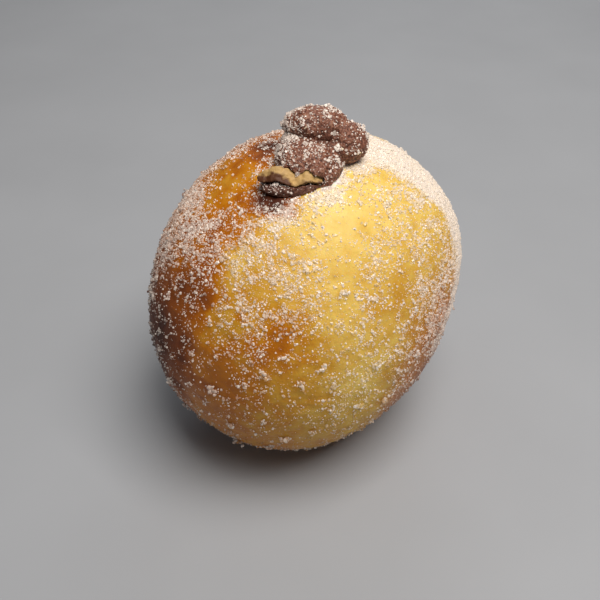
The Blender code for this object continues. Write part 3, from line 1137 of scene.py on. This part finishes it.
@dataclass(frozen=True)
class FlapShape:
    """The sheet that the torn flap is made from, in the mouth's frame."""

    left: float = -0.0108
    right: float = 0.0024
    front: float = 0.0060
    bulge: float = 0.0008
    depth: float = 0.0036
    slope: float = math.radians(32)
    thickness: float = 0.0013
    lift: float = 0.0009
    arch: float = 0.0012
    # place, width and height of each ripple, the first two as shares of the length
    ripples: tuple[Triple, ...] = ((0.27, 0.10, 0.0007), (0.58, 0.10, -0.0007), (0.80, 0.09, 0.0006))

    def belly(self, share: np.ndarray) -> np.ndarray:
        """How full the flap is along its length: 0 at its ends, 1 in the middle."""
        return np.sin(math.pi * np.clip(share, 0, 1)) ** 0.7

    def width(self, belly: np.ndarray) -> np.ndarray:
        """The flap's width where it is so full."""
        return self.depth * (0.5 + 0.5 * belly)

    def sheet(self, points: np.ndarray, inset: float) -> np.ndarray:
        """Bend a flat unit square into the flap's middle surface.

        Args:
            points: Places on a square from -0.5 to 0.5.
            inset: How much wider than the flap the sheet is, all round.

        Returns:
            The places in the mouth's frame.
        """
        share, row = points[:, 0] + 0.5, 0.5 - points[:, 1]
        belly = self.belly(share)
        ripple = sum(
            height * np.exp(-(((share - place) / width) ** 2)) for place, width, height in self.ripples
        )
        across = (row - 0.5) * (self.width(belly) + 2 * inset)
        right = self.left - inset + (self.right - self.left + 2 * inset) * share
        front = self.front + self.bulge * belly + across * math.cos(self.slope)
        lift = self.lift + self.arch * belly + ripple - across * math.sin(self.slope)
        return np.stack([right, -front, lift], axis=1)


@dataclass
class Flap:
    """The torn flap of crust in front of the plug."""

    mouth: Mouth
    shape: FlapShape
    finish: TornCrust
    columns: int = 56
    rows: int = 16
    crease: float = math.radians(50)
    rounding: float = 0.32  # width of the rounded rim, as a share of the thickness
    crumbs: tuple[Waves, ...] = (Waves(0.00026, 0.0010, 3, 2.0), Waves(0.00020, 0.0026, 1, 8.0))
    sunk: float = 0.00014  # keeps the crumbs inside the solid
    # where the crumb turns to dark skin and painted shade, as a share of the width: the dark part reaches
    # further at the left end
    edge: float = 0.30
    edge_right: Step = Step(0.30, 0.62, 0.50)
    edge_wander: Waves = Waves(0.22, 0.0022, 2, 5.0)
    edge_width: float = 0.45

    def solid(self, name: str, columns: int, rows: int, grow: float) -> bpy.types.Object:
        """Make the flap's sheet thick, in the mouth's frame.

        Args:
            name: The object's name.
            columns: Steps along the flap.
            rows: Steps across it.
            grow: Clearance added all round.

        Returns:
            The closed shape.
        """
        deselect()
        bpy.ops.mesh.primitive_grid_add(
            x_subdivisions=columns, y_subdivisions=rows, size=1.0, location=(0, 0, 0)
        )
        item = bpy.context.active_object
        item.name = item.data.name = name
        move_points(item.data, self.shape.sheet(points_of(item.data), grow))
        tidy(item)
        apply_step(item, "SOLIDIFY", thickness=self.shape.thickness + 2 * grow, offset=0.0)
        return item

    def browning_and_shade(self, points: np.ndarray) -> np.ndarray:
        """Find how much dark skin and painted shade there is over the crumb.

        Args:
            points: Places on the flap, in the mouth's frame.

        Returns:
            The dark skin and painted shade at each, 0 to 1.
        """
        shape = self.shape
        share = np.clip((points[:, 0] - shape.left) / (shape.right - shape.left), 0, 1)
        belly = shape.belly(share)
        across = (-points[:, 1] - shape.front - shape.bulge * belly) / math.cos(shape.slope)
        row = across / shape.width(belly) + 0.5
        edge = self.edge + self.edge_right.at(share)
        return rise((row + self.edge_wander.at(points) - edge) / self.edge_width, 0.0, 1.0)

    def build(self) -> bpy.types.Object:
        """Make the flap with its crumbly torn rim.

        Returns:
            The piece, dressed and tied to the frame.
        """
        item = self.solid("torn_flap", self.columns, self.rows, 0.0)
        apply_step(
            item, "BEVEL", width=self.shape.thickness * self.rounding, segments=3, limit_method="ANGLE",
            angle_limit=self.crease,
        )
        points = points_of(item.data)
        crumb = sum(wave.at(points) for wave in self.crumbs)
        move_points(item.data, points + normals_of(item.data) * (crumb - self.sunk)[:, None])
        # dark skin toward the flap's outer edge, partly painted shade
        write_values(item.data, "browning_and_shade", self.browning_and_shade(points_of(item.data)))
        item.data.transform(self.mouth.frame())
        tidy(item)
        take(item)
        bpy.ops.object.shade_smooth_by_angle(angle=self.crease)
        finish_piece(item, self.finish.build(), "crust_flap")
        return item


# ---------------------------------------------------------------- the cream


@dataclass
class Cream:
    """The plug of cream: melted lobes, a crisp fold over the back, and the root."""

    dough: Dough
    flap: Flap
    finish: HazelnutCream
    bumps: int = 5
    roughness: float = 0.05
    rates: tuple[float, float] = (2.2, 4.5)  # radians of a bump's wave in each radius
    phases: tuple[float, float] = (0.0, 6.28)
    grain: float = 0.00026  # size of the melted skin's faces
    softening: int = 16
    roll_softening: int = 12
    lumps: tuple[Waves, ...] = (Waves(0.00026, 0.0028, 2, 4.0), Waves(0.00024, 0.0012, 3, 17.0))
    sunk: float = 0.00014  # keeps the lumps inside the solid
    seat_cuts: tuple[int, ...] = (39,)
    seat_gap: float = 0.0003
    slot_steps: tuple[int, int] = (32, 6)
    crease: float = math.radians(60)
    # the painted shadow under the flap, which also thins the sugar there: how it fades at the front, above
    # and at the right end
    shelter: float = 0.0010
    shelter_low: float = 0.0016
    shelter_high: float = 0.0004
    shelter_end: Step = Step(0.0, 0.0015)
    shelter_shade: float = 0.8
    # creases, which get painted shade, are found by short feelers round each vertex
    feelers: int = 5
    feeler_start: float = 0.0002
    feeler_reach: float = 0.0035
    feeler_rise: float = 0.6
    crease_shade_gain: float = 1.3
    crease_shade_least: float = 0.2
    crease_shade_most: float = 0.9

    def swelling(self, lobe: Lobe, draw: random.Random) -> bpy.types.Object:
        """Make one lumpy lobe.

        Args:
            lobe: Its place and size.
            draw: The random source.

        Returns:
            The lobe, in the mouth's frame.
        """
        deselect()
        bpy.ops.mesh.primitive_ico_sphere_add(subdivisions=5, radius=1.0, location=(0, 0, 0))
        item = bpy.context.active_object
        ball = points_of(item.data)
        bump = np.zeros(len(ball))
        for _ in range(self.bumps):
            heading = Vector([draw.uniform(-1, 1) for _ in range(3)]).normalized()
            rate, phase = draw.uniform(*self.rates), draw.uniform(*self.phases)
            bump += np.sin(rate * (ball @ np.array(heading)) + phase)
        right, front, up = lobe.centre
        swell = (1 + self.roughness * bump / 2)[:, None]
        move_points(item.data, ball * np.array(lobe.half) * swell + np.array((right, -front, up)))
        return item

    def melt(self, item: bpy.types.Object, softening: int) -> None:
        """Give a shape one even skin and soften its creases."""
        apply_step(item, "REMESH", mode="VOXEL", voxel_size=self.grain)
        apply_step(item, "SMOOTH", factor=0.5, iterations=softening)

    def build(self) -> bpy.types.Object:
        """Make the fine plug.

        Returns:
            The piece, dressed and tied to the frame.
        """
        draw = random.Random(SEED)
        plug, frame = self.dough.plug, self.dough.mouth.frame()
        item = self.swelling(plug.lobes[0], draw)
        item.name = item.data.name = "cream_plug"
        for lobe in plug.lobes[1:]:
            cut(item, self.swelling(lobe, draw), "UNION")
        self.melt(item, self.softening)
        roll = self.swelling(plug.roll, draw)
        self.melt(roll, self.roll_softening)
        cut(item, roll, "UNION")
        tidy(item)
        points = points_of(item.data)
        lumps = sum(wave.at(points) for wave in self.lumps)
        move_points(item.data, points + normals_of(item.data) * (lumps - self.sunk)[:, None])
        item.data.transform(frame)
        cut(item, self.dough.body("seat", self.seat_cuts, self.seat_gap), "DIFFERENCE")
        cut(item, self.dough.stem(0.0), "UNION")
        slot = self.flap.solid("slot", *self.slot_steps, self.seat_gap)
        slot.data.transform(frame)
        cut(item, slot, "DIFFERENCE")
        tidy(item)
        # painted shade in the creases and under the flap
        write_values(item.data, "painted_shade", self.find_painted_shade(item))
        take(item)
        bpy.ops.object.shade_smooth_by_angle(angle=self.crease)
        finish_piece(item, self.finish.build(), "filling")
        return item

    def sheltered(self, points: np.ndarray) -> np.ndarray:
        """Find what lies under the flap.

        Args:
            points: Places in the row frame.

        Returns:
            How far under it each lies, 0 to 1.
        """
        local = self.dough.mouth.local(points)
        shape = self.flap.shape
        before = rise(-local[:, 1], shape.front - self.shelter, shape.front + self.shelter)
        below = rise(-local[:, 2], -shape.lift - self.shelter_low, -shape.lift + self.shelter_high)
        return before * below * self.shelter_end.at(shape.right + self.shelter - local[:, 0])

    def find_painted_shade(self, item: bpy.types.Object) -> np.ndarray:
        """Find the painted shade at each vertex: how deep in a crease it lies, from what shuts it in, and
        whether it lies under the flap.

        Args:
            item: The plug.

        Returns:
            The painted shade at each vertex, from 0 in the open.
        """
        tree = BVHTree.FromObject(item, bpy.context.evaluated_depsgraph_get())
        points, normals = points_of(item.data), normals_of(item.data)
        result = np.zeros(len(points))
        for index, (point, direction) in enumerate(zip(points, normals)):
            normal = Vector(direction)
            start = Vector(point) + normal * self.feeler_start
            side = normal.orthogonal().normalized()
            for turn in range(self.feelers):
                way = Matrix.Rotation(turn * math.tau / self.feelers, 3, normal) @ side
                way = (way + normal * self.feeler_rise).normalized()
                if tree.ray_cast(start, way, self.feeler_reach)[0] is not None:
                    result[index] += 1 / self.feelers
        shut = result * self.crease_shade_gain - self.crease_shade_least
        # painted shade: crease depth plus the painted shadow under the flap
        return np.clip(shut + self.shelter_shade * self.sheltered(points), 0.0, self.crease_shade_most)


# ---------------------------------------------------------------- the sugar


class Grain(Enum):
    """Kinds of sugar on the pastry, with the piece's name."""

    POWDER = "sugar_powder"
    DUST = "sugar_dust"
    FINE = "sugar_fine"
    MEDIUM = "sugar_medium"
    COARSE = "sugar_coarse"

    @property
    def splinter(self) -> bool:
        """Whether the grains are broken splinters."""
        return self in (Grain.POWDER, Grain.DUST)


@dataclass(frozen=True)
class Scatter:
    """One kind of loose sugar: how many grains lie where, and their half sizes."""

    kind: Grain
    on_dough: int
    on_cream: int
    small: float
    large: float
    even: float = 0.0  # 0 for grains that gather in chains, 1 for an even veil
    gathers: bool = True


@dataclass
class Sugar:
    """Granulated sugar as joined meshes, one piece for each kind."""

    dough: Dough
    cream: Cream
    finish: GranulatedSugar
    box: tuple[Vector, Vector]
    nodes: dict[str, bpy.types.Object]
    material: bpy.types.Material = field(init=False)
    loose: tuple[Scatter, ...] = (
        Scatter(Grain.POWDER, 38000, 1000, 0.00009, 0.00016, even=0.6, gathers=False),
        Scatter(Grain.DUST, 47000, 1236, 0.00013, 0.00026),
        Scatter(Grain.FINE, 15500, 193, 0.00016, 0.00027),
        Scatter(Grain.MEDIUM, 9500, 118, 0.00024, 0.00038),
    )
    # a crystal: a cube or splinter, each stretched and skewed a little
    corner: float = 0.42
    coarse_scale: float = 0.74
    scale: float = 0.66
    stretch: tuple[float, float] = (0.75, 1.25)
    skew: tuple[float, float] = (0.86, 1.10)
    tilt: float = 3.0
    sink: float = 0.33  # share of its height that is in the crust
    # grains brought up against others
    gathered: float = 0.38
    gather_width: float = 0.00034
    gather_lift: float = 0.00018
    # the knot that a coarse crystal is broken up into, in half sizes of the whole
    clump: int = 14
    clump_width: float = 0.50
    clump_lift: float = 0.6
    clump_core: float = 0.50
    clump_bits: tuple[float, float] = (0.20, 0.40)
    # crystals fused to a solid stand this proud of the fine surface
    proud: float = 0.00036
    proud_share: float = 1.45  # how proud a crystal of half size one stands
    fewest: int = 3  # points of a crystal that have to stand proud
    merge_gap: float = 0.000001
    # free space to the solids' box and the floor
    box_gap: float = 0.00002
    floor_gap: float = 0.0003
    floor_line: float = 0.0015
    border: float = 0.0008
    # tone
    thick_share: float = 0.5
    thick_white: float = 0.8
    cream_clear: float = 0.7
    cream_line: float = 0.0005
    brightness: tuple[float, float] = (0.88, 1.0)
    # where loose sugar lies
    drift_more: float = 0.4
    plug_gap: float = 0.0002
    facing_up: Step = Step(-0.3, 0.6)
    patch_least: float = 0.4
    patch_more: float = 1.2
    patches: Waves = Waves(1.0, 0.004, 2, 51.0)
    patch_edge: Step = Step(0.0, 0.5)
    left_side: Step = Step(0.002, 0.006, 4.0)
    shelter: float = 0.7

    def template(self, kind: Grain) -> tuple[np.ndarray, list[tuple[int, ...]]]:
        """Model one crystal with half size one.

        Args:
            kind: Dust is a splinter, and a coarse crystal is large enough to show its cut edges.

        Returns:
            Its vertices and its faces.
        """
        deselect()
        bpy.ops.mesh.primitive_cube_add(size=2.0, location=(0, 0, 0))
        item = bpy.context.active_object
        bpy.ops.object.mode_set(mode="EDIT")
        bpy.ops.mesh.select_all(action="SELECT")
        if kind.splinter:
            bpy.ops.mesh.delete(type="ONLY_FACE")
            bpy.ops.object.mode_set(mode="OBJECT")
            for vert in item.data.vertices:
                vert.select = vert.co.x * vert.co.y * vert.co.z < 0
            bpy.ops.object.mode_set(mode="EDIT")
            bpy.ops.mesh.delete(type="VERT")
            bpy.ops.mesh.select_all(action="SELECT")
            bpy.ops.mesh.convex_hull()
        elif kind is Grain.COARSE:
            bpy.ops.mesh.bevel(offset=self.corner, segments=1, affect="EDGES")
        bpy.ops.object.mode_set(mode="OBJECT")
        points = points_of(item.data) * (self.coarse_scale if kind is Grain.COARSE else self.scale)
        faces = [tuple(face.vertices) for face in item.data.polygons]
        bpy.data.objects.remove(item, do_unlink=True)
        return points, faces

    def seats(
        self, item: bpy.types.Object, weight: Callable[[np.ndarray, np.ndarray], np.ndarray], count: int,
        draw: np.random.Generator,
    ) -> tuple[np.ndarray, np.ndarray]:
        """Pick random places on a piece.

        Args:
            item: The piece the sugar lies on.
            weight: Thickness rule from face centres and normals.
            count: How many places.
            draw: The random source.

        Returns:
            The places and the normals there.
        """
        faces = item.data.polygons
        centres, normals, areas = (np.zeros(len(faces) * 3), np.zeros(len(faces) * 3), np.zeros(len(faces)))
        faces.foreach_get("center", centres)
        faces.foreach_get("normal", normals)
        faces.foreach_get("area", areas)
        centres, normals = centres.reshape(-1, 3), normals.reshape(-1, 3)
        share = areas * weight(centres, normals)
        chosen = draw.choice(len(faces), size=count, p=share / share.sum())
        spread = np.sqrt(areas[chosen])[:, None]
        shift = draw.uniform(-0.5, 0.5, (count, 3)) * spread
        normal = normals[chosen]
        shift -= (shift * normal).sum(axis=1, keepdims=True) * normal
        return centres[chosen] + shift, normal

    def gather(self, spots: np.ndarray, normals: np.ndarray, draw: np.random.Generator) -> None:
        """Bring part of the grains up against others, in small knots.

        Args:
            spots: Places of the grains, changed in place.
            normals: Outward directions there, changed in place.
            draw: The random source.
        """
        count = len(spots)
        moved = draw.random(count) < self.gathered
        hosts = draw.integers(0, count, moved.sum())
        shift = draw.normal(size=(len(hosts), 3)) * self.gather_width
        shift -= (shift * normals[hosts]).sum(axis=1, keepdims=True) * normals[hosts]
        lift = draw.uniform(0.0, self.gather_lift, (len(hosts), 1)) * normals[hosts]
        spots[moved], normals[moved] = spots[hosts] + shift + lift, normals[hosts]

    def turns(self, normals: np.ndarray, draw: np.random.Generator) -> np.ndarray:
        """Turn each crystal at random, lying more or less on a face.

        Args:
            normals: Outward direction under each crystal.
            draw: The random source.

        Returns:
            One turn matrix for each crystal.
        """
        up = normals + self.tilt * draw.normal(size=normals.shape)
        up /= np.linalg.norm(up, axis=1, keepdims=True)
        side = np.cross(up, draw.normal(size=normals.shape))
        side /= np.linalg.norm(side, axis=1, keepdims=True)
        return np.stack([side, np.cross(up, side), up], axis=2)

    def tints(self, spots: np.ndarray, draw: np.random.Generator) -> np.ndarray:
        """Choose how much of the tone beneath it each crystal takes up.

        Args:
            spots: Places of the crystals.
            draw: The random source.

        Returns:
            One linear RGBA colour for each crystal.
        """
        count = len(spots)
        white = np.array(linear(self.finish.white)[:3])
        dark = np.array(linear(self.cream.finish.body)[:3])
        on_cream = (self.dough.plug.gap(spots) < self.cream_line)[:, None]
        beneath = np.where(on_cream, dark, self.dough.finish.tone(self.dough.browning_and_shade(spots)))
        aim, _ = self.dough.pillow.aims(spots)
        covered = self.thick_share * np.clip(self.dough.sugar_share(spots), 0, 1)
        thick = np.maximum(self.dough.drifted(aim), covered)[:, None]
        clear = self.finish.clearest * draw.random((count, 1)) * (1 - self.thick_white * thick)
        clear = np.where(on_cream, self.cream_clear * clear, clear)
        mixed = white * (1 - clear) + beneath * clear
        tint = np.clip(mixed * draw.uniform(*self.brightness, (count, 1)), 0, 1)
        return np.concatenate([tint, np.ones((count, 1))], axis=1)

    def lay(
        self, kind: Grain, spots: np.ndarray, normals: np.ndarray, half: np.ndarray,
        draw: np.random.Generator,
    ) -> bpy.types.Object:
        """Set one crystal at each spot and join them into one piece.

        Args:
            kind: Which kind of sugar.
            spots: Places on the surface.
            normals: Outward directions there.
            half: Half size of each crystal.
            draw: The random source.

        Returns:
            The joined piece.
        """
        points, faces = self.template(kind)
        size = len(points)
        shape = points[None] * draw.uniform(*self.stretch, (len(spots), 1, 3))
        shape *= draw.uniform(*self.skew, (len(spots), size, 1))
        shape = np.einsum("nij,nkj->nki", self.turns(normals, draw), shape) * half[:, None, None]
        shape += (spots + normals * (half * (1 - 2 * self.sink))[:, None])[:, None, :]
        low, high = (np.array(corner) for corner in self.box)
        kept = ((shape > low + self.box_gap) & (shape < high - self.box_gap)).all(axis=(1, 2))
        kept &= shape[:, :, 2].min(axis=1) > self.floor_gap
        shape, spots, normals = shape[kept], spots[kept], normals[kept]
        starts = range(0, size * len(shape), size)
        cells = [tuple(place + start for place in face) for start in starts for face in faces]
        mesh = bpy.data.meshes.new(kind.value)
        mesh.from_pydata(shape.reshape(-1, 3).tolist(), [], cells)
        item = bpy.data.objects.new(kind.value, mesh)
        bpy.context.scene.collection.objects.link(item)
        colours = self.tints(spots, draw).repeat(size, axis=0)
        layer = mesh.attributes.new("tint", "FLOAT_COLOR", "POINT")
        layer.data.foreach_set("color", colours.astype(np.float32).ravel())
        layer = mesh.attributes.new("outward", "FLOAT_VECTOR", "POINT")
        layer.data.foreach_set("vector", normals.repeat(size, axis=0).astype(np.float32).ravel())
        mesh.shade_flat()
        mesh.update()
        finish_piece(item, self.material, None)
        return item

    def on_dough(self, centres: np.ndarray, normals: np.ndarray, even: float) -> np.ndarray:
        """Find how thickly loose sugar lies on the dough.

        Args:
            centres: Face centres.
            normals: Face normals, which this rule doesn't need.
            even: 0 for grains that gather in chains, 1 for an even veil.

        Returns:
            The relative thickness at each face.
        """
        aim, distance = self.dough.pillow.aims(centres)
        outside = distance > self.dough.pillow.reach(aim) - self.border
        knots = even + (1 - even) * self.dough.clumps(centres)
        share = self.dough.sugar_share(centres) * knots + self.drift_more * self.dough.drifted(aim)
        clear = self.dough.plug.gap(centres) > self.plug_gap
        return share * outside * clear * (centres[:, 2] > self.floor_line)

    def on_cream(self, centres: np.ndarray, normals: np.ndarray) -> np.ndarray:
        """Find how thickly loose sugar lies on the cream.

        Args:
            centres: Face centres.
            normals: Face normals.

        Returns:
            The relative thickness at each face.
        """
        local = self.dough.mouth.local(centres)
        aim, distance = self.dough.pillow.aims(centres)
        outside = distance > self.dough.pillow.reach(aim) + self.border
        facing = self.facing_up.at(normals[:, 2])
        patch = self.patch_least + self.patch_more * self.patch_edge.at(self.patches.at(centres))
        left = 1.0 + self.left_side.at(-local[:, 0])
        return outside * facing * patch * left * (1 - self.shelter * self.cream.sheltered(centres))

    def crystals_of(self, node: str, surface: bpy.types.Object) -> tuple[np.ndarray, np.ndarray, np.ndarray]:
        """Find where a solid carries its fused crystals.

        Args:
            node: The solid's name.
            surface: The fine piece that stands for it.

        Returns:
            Places, outward directions and half sizes.
        """
        tree = BVHTree.FromObject(surface, bpy.context.evaluated_depsgraph_get())
        shape = bmesh.new()
        shape.from_mesh(self.nodes[node].data)
        bmesh.ops.remove_doubles(shape, verts=shape.verts, dist=self.merge_gap)
        heights: dict[Any, float] = {}
        for vert in shape.verts:
            spot, normal, _, distance = tree.find_nearest(vert.co)
            if distance > self.proud and (vert.co - spot).dot(normal) > 0:
                heights[vert] = distance
        found = []
        unseen = set(heights)
        for vert in shape.verts:
            if vert not in unseen:
                continue
            unseen.discard(vert)
            group, front = [vert], [vert]
            while front:
                for edge in front.pop().link_edges:
                    for other in edge.verts:
                        if other in unseen:
                            unseen.discard(other)
                            group.append(other)
                            front.append(other)
            if len(group) < self.fewest:
                continue
            middle = sum((item.co for item in group), Vector()) / len(group)
            spot, normal, _, _ = tree.find_nearest(middle)
            found.append((spot, normal, max(heights[item] for item in group) / self.proud_share))
        shape.free()
        found.sort(key=lambda entry: tuple(entry[0]))
        spots, normals, half = zip(*found)
        return np.array(spots), np.array(normals), np.array(half)

    def build_coarse(
        self, spots: np.ndarray, normals: np.ndarray, half: np.ndarray, draw: np.random.Generator
    ) -> bpy.types.Object:
        """Break each coarse crystal up into a small knot.

        Args:
            spots: Places of the solids' crystals.
            normals: Outward directions there.
            half: Half size of each crystal.
            draw: The random source.

        Returns:
            The joined piece.
        """
        places, sizes = [spots], [half * self.clump_core]
        for _ in range(self.clump):
            shift = draw.normal(size=spots.shape) * half[:, None] * self.clump_width
            lift = (shift * normals).sum(axis=1, keepdims=True)
            shift += (np.abs(lift) * self.clump_lift - lift) * normals
            places.append(spots + shift)
            sizes.append(half * draw.uniform(*self.clump_bits, len(half)))
        outward = np.concatenate([normals] * len(places))
        return self.lay(Grain.COARSE, np.concatenate(places), outward, np.concatenate(sizes), draw)

    def build(self, dough: bpy.types.Object, cream: bpy.types.Object) -> list[bpy.types.Object]:
        """Make every kind of sugar.

        Args:
            dough: The fine dough piece.
            cream: The fine cream piece.

        Returns:
            The sugar pieces.
        """
        self.material = self.finish.build()
        draw = np.random.default_rng(SEED)
        made = []
        for part in self.loose:
            spots, normals = self.seats(dough, partial(self.on_dough, even=part.even), part.on_dough, draw)
            if part.gathers:
                self.gather(spots, normals, draw)
            extra, up = self.seats(cream, self.on_cream, part.on_cream, draw)
            spots, normals = np.concatenate([spots, extra]), np.concatenate([normals, up])
            half = draw.uniform(part.small, part.large, len(spots))
            made.append(self.lay(part.kind, spots, normals, half, draw))
        fused = zip(self.crystals_of("dough", dough), self.crystals_of("filling", cream))
        spots, normals, half = (np.concatenate(pair) for pair in fused)
        LOG.info("crystals found on the solids: %d", len(spots))
        made.append(self.build_coarse(spots, normals, half, draw))
        return made


# ---------------------------------------------------------------- the studio


@dataclass(frozen=True)
class Lamp:
    """A soft square lamp."""

    name: str
    place: Triple
    size: float
    power: float  # watts
    tone: str


@dataclass(frozen=True)
class PaintedBoard:
    """Matt pale grey paint on a board."""

    tone: str = "A6AAB0"
    dark: float = 0.94  # the darkest paint, as a share of its tone
    clouds: float = 16.0  # waves in a metre, so unevenness of the paint 60 mm wide
    roughness: float = 0.8

    def build(self) -> bpy.types.Material:
        """Make the material.

        It gives a quiet, matt, cool grey that is never quite even.

        Returns:
            The material.
        """
        material, tree, shader = start_material("painted_board")
        place = add(tree, "ShaderNodeTexCoord", {}, {}).outputs["Object"]
        cloud = add(tree, "ShaderNodeTexNoise", {}, {"Vector": place, "Scale": self.clouds, "Detail": 3.0})
        ramp = add(tree, "ShaderNodeValToRGB", {}, {"Fac": cloud.outputs["Fac"]})
        base = linear(self.tone)
        red, green, blue = (value * self.dark for value in base[:3])
        set_ramp(ramp, [(0.3, (red, green, blue, 1.0)), (0.7, base)])
        feed(tree, shader, {"Base Color": ramp.outputs["Color"], "Roughness": self.roughness})
        return material


@dataclass
class Studio:
    """A pale floor, soft light and the camera."""

    pillow: Pillow
    board: PaintedBoard
    floor_size: float = 3.0
    azimuth: float = math.radians(33)
    elevation: float = math.radians(38)
    distance: float = 0.2074
    lens: float = 48.0
    sensor: float = 36.0
    shift: tuple[float, float] = (-0.0112, -0.0205)
    clip: tuple[float, float] = (0.01, 10.0)
    lamps: tuple[Lamp, ...] = (
        Lamp("key", (0.28, -0.08, 0.80), 0.48, 7.5, "FFF8F0"),
        Lamp("rim", (-0.30, 0.62, 0.42), 0.35, 0.9, "FFFFFF"),
    )
    sky_tone: str = "E6E4E4"
    sky_strength: float = 0.13

    def set_camera(self) -> None:
        """Set the camera at a three-quarter view from above."""
        data = bpy.data.cameras.new("camera")
        data.lens, data.sensor_width = self.lens, self.sensor
        data.shift_x, data.shift_y = self.shift
        data.clip_start, data.clip_end = self.clip
        camera = bpy.data.objects.new("camera", data)
        bpy.context.scene.collection.objects.link(camera)
        level = math.cos(self.elevation)
        right, front = math.sin(self.azimuth) * level, math.cos(self.azimuth) * level
        back = Vector((right, -front, math.sin(self.elevation)))
        camera.location = Vector(self.pillow.centre) + back * self.distance
        camera.rotation_euler = (-back).to_track_quat("-Z", "Y").to_euler()
        bpy.context.scene.camera = camera

    def hang(self, lamp: Lamp) -> None:
        """Add one lamp that looks at the pastry.

        Args:
            lamp: The lamp.
        """
        data = bpy.data.lights.new(lamp.name, "AREA")
        data.size, data.energy, data.color = lamp.size, lamp.power, linear(lamp.tone)[:3]
        item = bpy.data.objects.new(lamp.name, data)
        bpy.context.scene.collection.objects.link(item)
        item.location = lamp.place
        aim = Vector(self.pillow.centre) - Vector(lamp.place)
        item.rotation_euler = aim.to_track_quat("-Z", "Y").to_euler()

    def lay_floor(self) -> None:
        """Lay the floor."""
        deselect()
        bpy.ops.mesh.primitive_plane_add(size=self.floor_size, location=(0, 0, 0))
        item = bpy.context.active_object
        item.name = "floor"
        item.data.materials.append(self.board.build())
        item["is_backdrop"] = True

    def build(self) -> None:
        """Set the whole studio."""
        self.set_camera()
        self.lay_floor()
        for lamp in self.lamps:
            self.hang(lamp)
        world = bpy.data.worlds.new("studio")
        world.use_nodes = True
        background = world.node_tree.nodes["Background"]
        feed(world.node_tree, background, {"Color": linear(self.sky_tone), "Strength": self.sky_strength})
        bpy.context.scene.world = world
        bpy.context.scene.view_settings.view_transform = "Standard"


def main() -> None:
    """Build every piece in order and report it."""
    logging.basicConfig(level=logging.INFO, format="%(name)s: %(message)s")
    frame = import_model()
    solid_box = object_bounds()
    pillow = Pillow()
    mouth = Mouth(pillow)
    Studio(pillow, PaintedBoard()).build()
    dough = Dough(pillow, mouth, PlugShape(mouth), FriedDough())
    flap = Flap(mouth, FlapShape(), TornCrust())
    cream = Cream(dough, flap, HazelnutCream())
    sugar = Sugar(dough, cream, GranulatedSugar(), solid_box, frame["nodes"])
    skin = dough.build()
    plug = cream.build()
    torn = flap.build()
    made = [skin, plug, torn] + sugar.build(skin, plug)
    for item in made:
        LOG.info("%s: %d faces", item.name, len(item.data.polygons))


if __name__ == "__main__":
    main()
